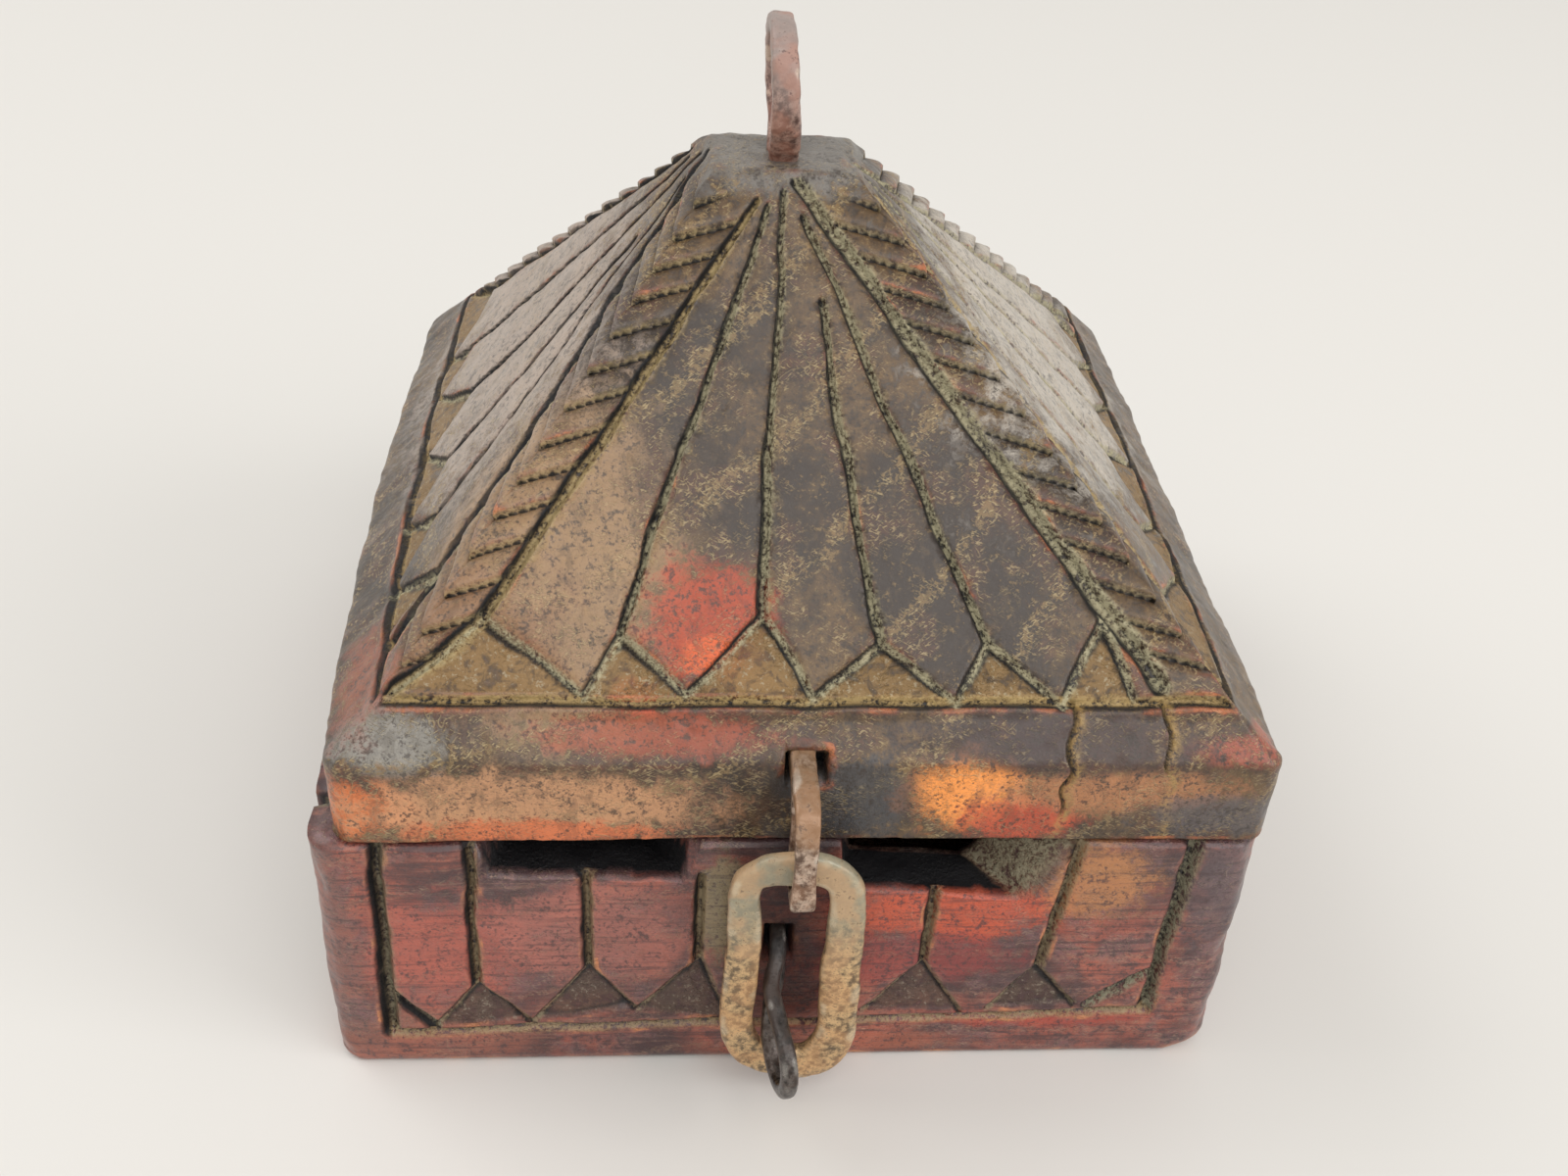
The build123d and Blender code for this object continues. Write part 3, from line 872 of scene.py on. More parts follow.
class Side(Enum):
    """The four sides of the box, in the order of the columns, anticlockwise seen from above."""

    FRONT = 0
    RIGHT = 1
    BACK = 2
    LEFT = 3

    @property
    def axis(self) -> int:
        """The axis that runs along the side: 0 for x, 1 for y."""
        return 0 if self in (Side.FRONT, Side.BACK) else 1

    @property
    def sign(self) -> float:
        """1 where that axis runs to the right seen from outside, -1 where it runs to the left."""
        return 1.0 if self in (Side.FRONT, Side.RIGHT) else -1.0


@dataclass(frozen=True)
class Columns:
    """How many columns of a wrapped grid each side has, and where they stand."""

    front: int
    other: int

    @property
    def counts(self) -> tuple[int, int, int, int]:
        """Columns of the front, right, back and left sides."""
        return (self.front, self.other, self.other, self.other)

    def sides(self) -> Array:
        """Side number of each column."""
        return np.repeat(np.arange(4), self.counts)

    def on(self, side: Side) -> Array:
        """Numbers of the columns on one side."""
        return np.nonzero(self.sides() == side.value)[0]

    def shares(self) -> Array:
        """Place of each column along its side, from -1 at its left end up to 1."""
        return np.concatenate([np.linspace(-1.0, 1.0, count, endpoint=False) for count in self.counts])

    def outline(self, half_x: Array, half_y: Array, fan: Array) -> tuple[Array, Array]:
        """Places of the columns on rectangles, one rectangle for each row.

        A column at share s stands at sign(s) times |s| to the power of fan, times the half side, so a fan
        above 1 gathers the columns towards the middle of each side.

        Args:
            half_x: Half width of each row's rectangle.
            half_y: Half depth of each row's rectangle.
            fan: Power of each row.

        Returns:
            The x and y of each row and column.
        """
        side = self.sides()[None]
        share = self.shares()[None]
        spread = np.sign(share) * np.abs(share) ** fan[:, None]
        half_x = half_x[:, None]
        half_y = half_y[:, None]
        which = [side == Side.FRONT.value, side == Side.RIGHT.value, side == Side.BACK.value]
        x = np.select(which, [spread * half_x, half_x, -spread * half_x], -half_x)
        y = np.select(which, [-half_y, spread * half_y, half_y], -spread * half_y)
        return x, y


def round_corners(x: Array, y: Array, half_x: Array, half_y: Array, radius: Array) -> tuple[Array, Array]:
    """Moves places near a rectangle's corners onto arcs round each corner's centre.

    Args:
        x: Places along x, on the rectangle.
        y: Places along y, on the rectangle.
        half_x: Half width.
        half_y: Half depth.
        radius: Corner radius at each place.

    Returns:
        The moved x and y.
    """
    over_x = np.abs(x) - (half_x - radius)
    over_y = np.abs(y) - (half_y - radius)
    in_corner = (over_x > 0) & (over_y > 0)
    length = np.hypot(over_x, over_y)
    length = np.where(length > 1e-9, length, 1.0)
    arc_x = np.sign(x) * (half_x - radius + radius * over_x / length)
    arc_y = np.sign(y) * (half_y - radius + radius * over_y / length)
    return np.where(in_corner, arc_x, x), np.where(in_corner, arc_y, y)


def grid_normals(points: Array) -> Array:
    """Outward unit normals of a wrapped grid: the step round it crossed with the step up its rows."""
    across = np.roll(points, -1, axis=1) - np.roll(points, 1, axis=1)
    return unit(np.cross(across, np.gradient(points, axis=0)))


def grid_relief(points: Array, normals: Array, reach: int) -> Array:
    """How far each place of a wrapped grid lies below the mean of the places round it, in millimetres.

    The mean is a box average over reach rows and columns each way. Hollows come out above 0, edges below 0.

    Args:
        points: The grid's places.
        normals: Its outward normals.
        reach: Rows and columns averaged each way.

    Returns:
        The relief of each place.
    """
    mean = np.zeros_like(points)
    for step in range(-reach, reach + 1):
        mean += np.roll(points, step, axis=1)
    mean /= 2 * reach + 1
    padded = np.concatenate([mean[:1].repeat(reach, 0), mean, mean[-1:].repeat(reach, 0)])
    rows = np.zeros_like(points)
    for step in range(2 * reach + 1):
        rows += padded[step:step + len(points)]
    rows /= 2 * reach + 1
    return ((rows - points) * normals).sum(axis=-1)


@dataclass(frozen=True)
class Groove:
    """A kind of V groove: half its width, its depth, and how much pale dust and ochre crust lie in it."""

    half_width: float
    depth: float
    dust: float
    crust: float

    @classmethod
    def fan(cls, half_width: float, dust: float, crust: float) -> "Groove":
        """A groove of the lid's fan, whose depth grows with the root of its width."""
        return cls(half_width, FAN_DEPTH * half_width**0.5, dust, crust)


@dataclass
class Carving:
    """Depth of a carved area and its surface values, gathered cut by cut, and how far its grooves are."""

    values: Values
    nearest: Array

    @classmethod
    def blank(cls, shape: tuple[int, ...]) -> "Carving":
        """An uncarved area."""
        return cls({name: np.zeros(shape) for name in ("depth", *CARVED_VALUES)}, np.full(shape, np.inf))

    def lift(self, name: str, values: Array) -> None:
        """Raises one of the values to the given ones where they are higher."""
        self.values[name] = np.maximum(self.values[name], values)

    def groove(self, signed: Array, kind: Groove, width: Array | float = 1, depth: Array | float = 1) -> None:
        """Cuts a V groove, with painted shade on its left side and dust on its right side.

        The depth is full within a third of the half width and then falls in a straight line. The painted
        shade, a shadow on the groove's left wall, is full from 0.9 half widths to the left up to 0.3, and the
        dust from the middle up to 0.8 to the right.

        Args:
            signed: Distance to the groove's middle line, above 0 on its right.
            kind: The kind of groove.
            width: Factor on its width.
            depth: Factor on its depth.
        """
        side = signed / (kind.half_width * width)
        cut = np.clip(1 - np.abs(side), 0, 1)
        self.lift("depth", kind.depth * depth * np.minimum(1.5 * cut, 1))
        # Painted shade down the groove's left wall.
        self.lift("shade", np.clip(1.7 - np.abs(side + 0.6) / 0.42, 0, 1))
        pale = np.clip(1.8 - np.abs(side - 0.4) / 0.5, 0, 1)
        self.lift("dust", kind.dust * pale)
        self.lift("crust", kind.crust * pale)
        self.nearest = np.minimum(self.nearest, np.abs(signed))

    def sunk_triangle(self, x: Array, y: Array, corners: Line, depth: float, foot_share: float) -> None:
        """Sinks a triangle whose floor slopes from its point, where it is deepest, to its foot.

        Args:
            x: Sideways places.
            y: Upward places.
            corners: The left foot, the right foot and the point.
            depth: Depth at the point.
            foot_share: Share of that depth at the foot.
        """
        inside = smooth_step(inside_depth(x, y, corners), 0.0, 0.5)
        up = np.clip((y - corners[0][1]) / (corners[2][1] - corners[0][1]), 0, 1)
        self.lift("depth", inside * depth * (foot_share + (1 - foot_share) * up**0.8))
        self.lift("pocket", inside)

    def merge(self, other: "Carving", share: Array) -> None:
        """Takes over a share of another carving where it is higher."""
        for name, values in other.values.items():
            self.lift(name, share * values)


@dataclass(frozen=True)
class FanLayout:
    """The carving of a lid face: grooves that fan out from the top, and pockets between their feet.

    Places are shares of half the face's width at its foot, and shares of the way up its slope.
    """

    tops: Line = (
        (-0.134, 0.94), (-0.104, 0.93), (-0.064, 0.96), (0.023, 0.75), (-0.011, 0.91), (-0.03, 0.98),
    )
    feet: Line = (
        (-0.749, 0.16), (-0.448, 0.13), (-0.118, 0.17), (0.149, 0.12), (0.405, 0.12), (0.677, 0.16),
    )
    tips: Line = (
        (-0.95, 0.03), (-0.525, 0.02), (-0.288, 0.025), (0.0, 0.02), (0.325, 0.01), (0.579, 0.005),
        (0.74, 0.02),
    )
    right_end: Pair = (0.813, 0.04)


@dataclass(frozen=True)
class Crack:
    """A drying crack down the lid's front band, with a pale crust on its right edge."""

    middle: float
    lean: float
    above_seam: float
    above_band: float
    half_width: float


@dataclass
class CarvedLid:
    """Lid carved from one block: hollow, band, sloping strip and four fan-carved faces."""

    wood: bpy.types.Material
    band_height: float = 14.0
    strip_height: float = 6.5
    strip_run: Pair = (7.5, 5.75)
    flat_top: Pair = (11.5, 8.0)
    top_shift: float = -3.7
    wall: float = 17.0
    hollow_upright: float = 16.0
    hollow_top: Pair = (17.0, 15.0)
    hollow_radius: float = 3.0
    crown: float = 21.0
    front_radius: float = 4.0
    rear_radius: float = 8.0
    rear_foot_radius: float = 3.0
    ridge_radius: float = 0.9
    fan_power: float = 2.3
    fan: FanLayout = FanLayout()
    groove: Groove = Groove.fan(0.75, dust=0.9, crust=0.0)
    left_border: Groove = Groove.fan(1.05, dust=0.4, crust=1.0)
    right_border: Groove = Groove.fan(1.5, dust=0.9, crust=0.0)
    pocket_edge: Groove = Groove(0.65, 0.8, dust=0.9, crust=0.0)
    frame_groove: Groove = Groove(0.85, 1.1, dust=0.2, crust=1.0)
    frame_rise: float = 1.0
    pocket_depth: float = 1.7
    pocket_foot_share: float = 0.18
    swell: float = 0.5
    swell_reach: float = 2.4
    leaves: int = 15
    leaf_lean: float = 0.36
    leaf_notch: float = 0.5
    leaf_step: float = 0.9
    ridge_step: float = 0.7
    bow: Pair = (2.6, 0.3)
    seam_drop: float = 0.85
    sag_fade: Pair = (22.0, 8.0)
    left_sag: float = 0.5
    left_sag_run: Pair = (20.0, 60.0)
    right_sag: float = 0.8
    right_sag_run: Pair = (15.0, 70.0)
    hasp_hole_depth: float = 5.0
    cracks: tuple[Crack, ...] = (Crack(39.5, 0.06, 3.0, 8.5, 0.5), Crack(54.0, -0.05, 11.0, 8.0, 0.35))
    crack_depth: float = 0.8
    wear: Wear = Wear(even=0.4, broad=0.32, broad_size=15.0, fine=0.12, fine_size=3.2)
    hollow_rows: int = 46
    first_outer_row: int = 51
    seed: int = 11
    columns: Columns = Columns(front=400, other=250)

    def __post_init__(self) -> None:
        """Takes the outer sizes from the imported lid."""
        low, high = cad_box("lid_block")
        self.middle = (low + high) / 2
        self.half = (high - low) / 2
        self.seam = low[2]
        self.top = high[2]
        self.band_top = self.seam + self.band_height
        self.foot = self.band_top + self.strip_height
        self.noise = ValueNoise(self.seed)

    def profile(self) -> Values:
        """Rows of the surface, from the hollow's middle out, round the rim and up to the flat top.

        Each row is a rectangle with its half sizes, sideways shift, height, corner radii and fan power. The
        stations hold these and the number of rows up to the next one. Between them a straight line is drawn,
        and then eased by a 1-2-1 average.

        Returns:
            One array for each quantity.
        """
        half_x, half_y = self.half[:2]
        hollow_x, hollow_y = half_x - self.wall, half_y - self.wall
        foot_x, foot_y = half_x - self.strip_run[0], half_y - self.strip_run[1]
        ceiling = self.top - self.crown
        bend = self.seam + self.hollow_upright
        inner, ridge, power = self.hollow_radius, self.ridge_radius, self.fan_power
        outer = (self.front_radius, self.rear_radius)
        stations = [
            (3.0, 2.6, 0.0, ceiling, 1.0, 1.0, 1.0, 6),
            (*self.hollow_top, 0.0, ceiling, inner, inner, 1.0, 26),
            (hollow_x, hollow_y, 0.0, bend, inner, inner, 1.0, 10),
            (hollow_x, hollow_y, 0.0, self.seam, inner, inner, 1.0, 12),
            (half_x, half_y, 0.0, self.seam, *outer, 1.0, 30),
            (half_x, half_y, 0.0, self.band_top, *outer, 1.0, 18),
            (foot_x, foot_y, 0.0, self.foot, ridge, self.rear_foot_radius, 1.0, 190),
            (*self.flat_top, self.top_shift, self.top, ridge, ridge, power, 18),
            (1.2, 1.0, self.top_shift, self.top, 0.5, 0.5, power, 1),
        ]
        rows = []
        for here, there in zip(stations, stations[1:]):
            share = np.arange(here[-1])[:, None] / here[-1]
            rows.append(np.array(here[:-1]) * (1 - share) + np.array(there[:-1]) * share)
        rows.append(np.array([stations[-1][:-1]]))
        table = np.concatenate(rows)
        for _ in range(4):
            table[1:-1] = (table[:-2] + 2 * table[1:-1] + table[2:]) / 4
        names = ("half_x", "half_y", "shift", "height", "front_radius", "rear_radius", "fan")
        return {name: table[:, index] for index, name in enumerate(names)}

    def seam_wave(self, x: Array, y: Array) -> Array:
        """How far the lid's lower edge rises above the seam: below 0 along the front, most at the right.

        The front drops evenly and sags further towards each end, all as smooth rises.

        Args:
            x: Places along x.
            y: Places along y.

        Returns:
            The rise in millimetres.
        """
        front = smooth_step(-y, self.half[1] - self.sag_fade[0], self.half[1] - self.sag_fade[1])
        left_sag = self.left_sag * smooth_step(-x, *self.left_sag_run)
        right_sag = self.right_sag * smooth_step(x, *self.right_sag_run)
        return front * (-self.seam_drop - left_sag - right_sag)

    def side_bow(self, points: Array) -> Array:
        """How far the left and right sides bow outwards.

        The bow is a parabola from front to back, 0 at the corners, and falls in a straight line up the face
        to 0 at the top. It also falls off inwards, with the square of the distance from the middle.

        Args:
            points: The surface's places.

        Returns:
            The shift along x of each place.
        """
        sideways = (points[..., 0] - self.middle[0]) / self.half[0]
        backward = np.clip(np.abs(points[..., 1] - self.middle[1]) / self.half[1], 0, 1)
        up = np.clip((points[..., 2] - self.foot) / (self.top - self.foot), 0, 1)
        reach = np.where(sideways < 0, self.bow[0], self.bow[1])
        return reach * sideways * np.abs(sideways) * (1 - backward**2) * (1 - up)

    def carve_face(
        self, x: Array, share: Array, half: Array, centre: Array, half_foot: float, slope: float
    ) -> Carving:
        """Carves one face, from distances to its grooves, pockets and leaf cuts.

        Args:
            x: Millimetres sideways from the face's middle line at its foot.
            share: Share of the way up the face.
            half: Half width of the face at each row.
            centre: Middle of the face at each row, sideways.
            half_foot: Half width of the face at its foot.
            slope: Length of the face up its slope.

        Returns:
            The carving.
        """
        up = share * slope
        ripple = as_points(x, up, half_foot + slope)
        warp_x = x + 0.5 * self.noise.at(ripple, 9.0) + 0.16 * self.noise.at(ripple + 5.0, 2.2)
        warp_up = up + 0.35 * self.noise.at(ripple + 41.0, 8.0)
        tops, feet, tips, right_end = (
            np.array(places) * np.array([half_foot, slope])
            for places in (self.fan.tops, self.fan.feet, self.fan.tips, self.fan.right_end)
        )
        carved = Carving.blank(x.shape)
        lines = [[tops[0], feet[0], tips[0]], *([top, foot] for top, foot in zip(tops[1:-1], feet[1:-1]))]
        lines.append([tops[-1], right_end])
        kinds = [self.left_border, *[self.groove] * (len(lines) - 2), self.right_border]
        taper = 0.7 + 0.4 * (1 - share)
        for number, (line, kind) in enumerate(zip(lines, kinds)):
            uneven = 1.0 + 0.25 * self.noise.at(ripple + 9.0 * number, 5.0)
            carved.groove(side_of_line(warp_x, warp_up, line), kind, taper * uneven, taper)
        for foot, left, right in zip(feet, tips, tips[1:]):
            for tip in (left, right):
                carved.groove(side_of_line(warp_x, warp_up, [foot, tip]), self.pocket_edge)
            corners = [left, right, foot]
            carved.sunk_triangle(warp_x, warp_up, corners, self.pocket_depth, self.pocket_foot_share)
        from_ridge = half - np.abs(x - centre)
        border = Carving.blank(x.shape)
        border.groove(warp_up - self.frame_rise, self.frame_groove)
        carved.merge(border, smooth_step(from_ridge, 0.5, 1.5))
        left_line = np.array(lines[0][::-1])
        left_edge = np.interp(up, left_line[:, 1], left_line[:, 0])
        right_edge = np.interp(up, [right_end[1], tops[-1, 1]], [right_end[0], tops[-1, 0]])
        in_band = smooth_step(left_edge - warp_x, 0.5, 1.1)
        in_band = np.maximum(in_band, smooth_step(warp_x - right_edge, 0.9, 1.7))
        in_band = in_band * smooth_step(share, 0.055, 0.085) * smooth_step(1 - share, 0.03, 0.07)
        swell = self.swell * np.exp(-carved.nearest / self.swell_reach)
        self.cut_leaves(carved, share, from_ridge, in_band, x < centre, slope)
        carved.values["depth"] += (1 - in_band) * swell
        return carved

    def cut_leaves(
        self, carved: Carving, share: Array, from_ridge: Array, in_band: Array, on_left: Array, slope: float
    ) -> None:
        """Cuts the overlapping leaves in the bands along the ridges.

        A leaf's phase grows with the height up the ridge, less the lean times the distance from the ridge.
        Each leaf is deepest at its upper end, under the tip of the next one, as shingles lie.

        Args:
            carved: The face's carving so far.
            share: Share of the way up the face.
            from_ridge: Distance to the nearer ridge.
            in_band: 1 in the bands of leaves and 0 outside.
            on_left: True on the face's left half.
            slope: Length of the face up its slope.
        """
        uneven = 0.12 * self.noise.at(as_points(0.0, 80.0 * share, 0.0), 6.0)
        phase = self.leaves * (share - self.leaf_lean * from_ridge / slope) + uneven
        leaf = phase - np.floor(phase)
        pitch = slope / self.leaves
        notch = np.clip(1 - np.minimum(leaf, 1 - leaf) * pitch / 0.65, 0, 1)
        step = self.leaf_step + self.ridge_step * np.exp(-from_ridge / 3.0)
        carved.lift("depth", in_band * (step * (leaf**2 + 0.3 * (1 - leaf) ** 4) + self.leaf_notch * notch))
        # Painted shadow under the tip of the leaf above, and painted shade that darkens up each leaf.
        shade_under_tip = np.maximum(np.clip(1.3 - (1 - leaf) * pitch / 0.6, 0, 1), 0.5 * leaf**3)
        carved.lift("shade", in_band * shade_under_tip)
        low_edge = in_band * np.clip(1.2 - leaf * pitch / 0.7, 0, 1)
        carved.lift("dust", np.where(on_left, 0.3, 0.4) * low_edge)
        carved.lift("crust", np.where(on_left, 0.45, 0.15) * low_edge)

    def carving(self, points: Array, rows: Values) -> Carving:
        """Carving of all four faces.

        Args:
            points: The surface's places before carving.
            rows: The quantities of each row.

        Returns:
            The carving of every place.
        """
        result = Carving.blank(points.shape[:-1])
        share = (rows["height"] - self.foot) / (self.top - self.foot)
        on_face = np.nonzero((share > -0.02) & (rows["fan"] > 1.0) | (np.abs(share) < 0.02))[0]
        on_face = on_face[rows["height"][on_face] < self.top - 0.02]
        foot = (self.half[0] - self.strip_run[0], self.half[1] - self.strip_run[1])
        for side in Side:
            along, sign = side.axis, side.sign
            window = np.ix_(on_face, self.columns.on(side))
            x = sign * (points[window][..., along] - self.middle[along])
            shift = sign * rows["shift"][on_face][:, None] * (1 - along)
            half = rows[("half_x", "half_y")[along]][on_face][:, None]
            run = foot[1 - along] - self.flat_top[1 - along] - along * sign * self.top_shift
            slope = float(np.hypot(self.top - self.foot, run))
            carved = self.carve_face(x, share[on_face][:, None] + 0 * x, half, shift, foot[along], slope)
            for name, values in carved.values.items():
                result.values[name][window] = values
        return result

    def surface(self) -> tuple[Array, Values]:
        """Places of the whole surface after carving and wear, and its surface values.

        Wear is smooth noise over the outside, more along the edges of the flat top and none underneath.

        Returns:
            The grid's places, and the surface values.
        """
        rows = self.profile()
        x, y = self.columns.outline(rows["half_x"], rows["half_y"], rows["fan"])
        half_x, half_y = rows["half_x"][:, None], rows["half_y"][:, None]
        radius = np.where(y < 0, rows["front_radius"][:, None], rows["rear_radius"][:, None])
        x, y = round_corners(x, y, half_x, half_y, np.minimum(radius, 0.9 * np.minimum(half_x, half_y)))
        height = rows["height"][:, None]
        points = as_points(x + self.middle[0] + rows["shift"][:, None], y + self.middle[1], height)
        normals = grid_normals(points)
        carved = self.carving(points, rows)
        by_top = smooth_step(height, self.top - 4.0, self.top - 0.5) * smooth_step(half_x, 9.0, 11.0)
        worn = self.wear.depth(self.noise, points)
        worn = worn + by_top * (0.35 + 0.5 * self.noise.layered(points + 20.0, 4.0, 2))
        worn = worn * smooth_step(normals[..., 2], -0.9, -0.4)
        depth = carved.values["depth"] + np.clip(worn, 0.0, None) + self.band_marks(points, carved)
        points = points - normals * depth[..., None]
        points[..., 0] += self.side_bow(points)
        lower_part = smooth_step(-points[..., 2], -(self.seam + 4.0), -self.seam)
        points[..., 2] += lower_part * self.seam_wave(points[..., 0], points[..., 1])
        relief = grid_relief(points, grid_normals(points), 3)
        # Less painted shade and edge wear inside the hollow.
        relief[:self.hollow_rows] *= 0.3
        return points, {"relief": relief, **{name: carved.values[name] for name in CARVED_VALUES}}

    def band_marks(self, points: Array, carved: Carving) -> Array:
        """Extra depth on the outside: the hasp's hole, two drying cracks and adze marks on the band.

        Args:
            points: The surface's places before carving.
            carved: The carving so far; its painted shade and its crust are raised at the hole and the cracks.

        Returns:
            Depth in millimetres.
        """
        x, y, z = points[..., 0], points[..., 1], points[..., 2]
        outside = (np.arange(len(points)) >= self.first_outer_row)[:, None]
        front = smooth_step(-y, self.half[1] - 9.0, self.half[1] - 7.0)
        on_band = smooth_step(self.foot - z, 0.0, 1.5)
        low, high = cad_box("hasp_staple")
        hole = front * square_hole(
            x, z, (low[0] - 0.6, high[2] - 4.9), (high[0] + 1.7, high[2] + 0.5), (0.15, 0.3)
        )
        # Painted shade in the hasp's hole.
        carved.lift("shade", hole)
        stretched = points * np.array([1.0, 1.0, 0.35])
        depth = self.hasp_hole_depth * hole + 0.3 * (1 + self.noise.at(stretched + 30.0, 9.0)) * on_band
        depth = depth + 0.12 * self.noise.at(stretched * 1.8, 3.0) * on_band
        for crack in self.cracks:
            middle = crack.middle + 0.5 * np.sin(z * 0.9 + crack.middle) + crack.lean * (z - self.band_top)
            low_end = self.seam + crack.above_seam
            cut = np.clip(1 - np.abs(x - middle) / crack.half_width, 0, 1) * front
            cut = cut * smooth_step(z, low_end, low_end + 3.0)
            cut = cut * smooth_step(self.band_top + crack.above_band - z, 0.0, 1.5)
            # Painted shade in the crack.
            carved.lift("shade", cut)
            carved.lift("crust", 0.8 * front * np.exp(-((x - middle - 0.7) / 0.6) ** 2))
            depth = depth + self.crack_depth * cut
        return depth * outside

    def build(self) -> bpy.types.Object:
        """Makes the lid's piece in place of the plain block."""
        shell = Shell()
        shell.add_capped_grid(*self.surface())
        piece = shell.to_piece("carved_lid", self.wood)
        settle(piece, "lid", "carved_wood", "lid_block")
        return piece


@dataclass(frozen=True)
class PanelLayout:
    """The carving of one body panel, in millimetres sideways and upwards on that side of the body."""

    left: Line
    right: Line
    bottom: Line
    separators: tuple[Line, ...]
    pockets: tuple[Line, ...]
    diagonals: tuple[Line, ...]

    @classmethod
    def even(cls, tongues: int, half: float, foot: float, point: float, top: float) -> "PanelLayout":
        """Even tongues between two upright grooves.

        Args:
            tongues: How many tongues.
            half: Half the panel's width.
            foot: Height of the groove along its foot.
            point: Height of the points between the tongues.
            top: Height of the panel's open top.

        Returns:
            The layout.
        """
        places = np.linspace(-half, half, tongues + 1)
        tips = (places[:-1] + places[1:]) / 2
        low = foot + 0.9
        between = list(zip(places[1:-1], tips, tips[1:]))
        separators = tuple(((x, top), (x, point)) for x in places[1:-1])
        pockets = tuple(((x, point), (left, low), (right, low)) for x, left, right in between)
        ends = ((places[0], tips[0]), (places[-1], tips[-1]))
        diagonals = tuple(((x, foot + 9.5), (tip, foot)) for x, tip in ends)
        left, right = (((x, top), (x, foot)) for x in (places[0], places[-1]))
        return cls(left, right, ((places[0], foot), (places[-1], foot)), separators, pockets, diagonals)


@dataclass(frozen=True)
class Scoop:
    """A worn scoop in the front wall's top edge, narrower towards the inside."""

    left: float
    right: float
    left_splay: float
    right_splay: float
    left_depth: float
    right_depth: float
    end_run: float


@dataclass
class CarvedBody:
    """Body carved from one block: four wells, scooped front wall and carved panels.

    seam_wave gives the rise of the lid's lower edge at a place, which the body's rim follows.
    """

    wood: bpy.types.Material
    seam_wave: SeamWave
    wall: float = 10.5
    partition: float = 8.0
    floor: float = 9.0
    well_radius: float = 7.0
    corner_radius: float = 4.0
    foot_radius: float = 2.4
    floor_fillet: float = 4.0
    seam_gap: float = 0.12
    left_groove: Groove = Groove(1.3, 2.2, dust=0.7, crust=0.3)
    right_groove: Groove = Groove(1.3, 2.2, dust=0.9, crust=0.2)
    bottom_groove: Groove = Groove(0.85, 1.2, dust=0.5, crust=0.8)
    separator: Groove = Groove(0.9, 1.6, dust=0.6, crust=0.6)
    diagonal: Groove = Groove(1.0, 1.3, dust=1.0, crust=0.0)
    pocket_edge: Groove = Groove(0.6, 0.6, dust=0.6, crust=0.3)
    pocket_depth: float = 2.1
    pocket_foot_share: float = 0.25
    swell: float = 0.4
    swell_reach: float = 1.8
    lock_hole_depth: float = 4.0
    foot_chip: Pair = (5.0, 8.0)
    foot_chip_slope: Pair = (0.35, 0.5)
    wear: Wear = Wear(even=0.35, broad=0.28, broad_size=17.0, fine=0.1, fine_size=3.0)
    seed: int = 23
    scoops: tuple[Scoop, ...] = (
        Scoop(-47.2, -13.8, 0.35, 0.45, 5.8, 7.6, 1.4),
        Scoop(7.0, 43.5, 0.1, 0.9, 9.6, 12.2, 6.0),
    )
    front_panel: PanelLayout = PanelLayout(
        left=((-61.2, 52.0), (-61.3, 47.2), (-62.3, 7.9)),
        right=((61.1, 52.0), (60.9, 46.6), (59.4, 12.2)),
        bottom=((-61.8, 7.4), (-36.0, 8.2), (-10.6, 9.0), (13.6, 8.8), (59.7, 10.9)),
        separators=(
            ((-47.7, 48.0), (-48.2, 19.0)),
            ((-30.3, 48.0), (-30.9, 22.2)),
            ((-13.7, 42.2), (-13.9, 24.7)),
            ((22.4, 44.0), (21.8, 22.6)),
            ((43.6, 50.0), (40.5, 22.3)),
        ),
        pockets=(
            ((-47.9, 18.6), (-55.0, 8.8), (-40.4, 9.8)),
            ((-31.0, 22.5), (-39.6, 9.6), (-23.5, 12.8)),
            ((-13.4, 24.0), (-22.9, 12.3), (-8.6, 9.4)),
            ((21.9, 22.6), (13.0, 11.4), (28.9, 10.9)),
            ((40.2, 21.8), (33.3, 11.6), (47.4, 12.4)),
        ),
        diagonals=(((-61.9, 17.6), (-55.3, 9.0)), ((58.4, 20.0), (49.6, 12.2))),
    )
    even_panel: PanelLayout = PanelLayout.even(tongues=7, half=61.2, foot=9.0, point=21.0, top=52.0)
    columns: Columns = Columns(front=400, other=210)

    def __post_init__(self) -> None:
        """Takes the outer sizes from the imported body."""
        low, high = cad_box("body_block")
        self.middle = (low + high) / 2
        self.half = (high - low) / 2
        self.top = high[2]
        self.well_half = (self.half[0] - self.wall - self.partition / 2) / 2
        self.well_middle = (self.half[0] - self.wall + self.partition / 2) / 2
        self.noise = ValueNoise(self.seed)

    def rim_height(self, x: Array, y: Array) -> Array:
        """Height of the body's top: the seam less a small gap, lowered in the scoops.

        A scoop's ends move inwards with the distance from the front, and its depth changes in a straight
        line from its left end to its right end.

        Args:
            x: Places along x.
            y: Places along y.

        Returns:
            Heights in millimetres.
        """
        front = -self.half[1]
        height = self.top - self.seam_gap + np.minimum(self.seam_wave(x, y), 0.0)
        height = height - 0.12 * (1 + self.noise.at(as_points(x, y, 0.0), 9.0))
        inside = y - front
        on_wall = smooth_step(self.wall + 1.2 - inside, 0.0, 0.8)
        for scoop in self.scoops:
            left = scoop.left + scoop.left_splay * inside
            right = scoop.right - scoop.right_splay * inside
            within = smooth_step(x - left, 0.0, 1.0) * np.clip((right - x) / scoop.end_run, 0.0, 1.0)
            share = np.clip((x - scoop.left) / (scoop.right - scoop.left), 0, 1)
            drop = scoop.left_depth + (scoop.right_depth - scoop.left_depth) * share
            drop = drop + 0.35 * self.noise.at(as_points(x, y, 5.0), 4.0)
            height = height - on_wall * within * drop
        return height

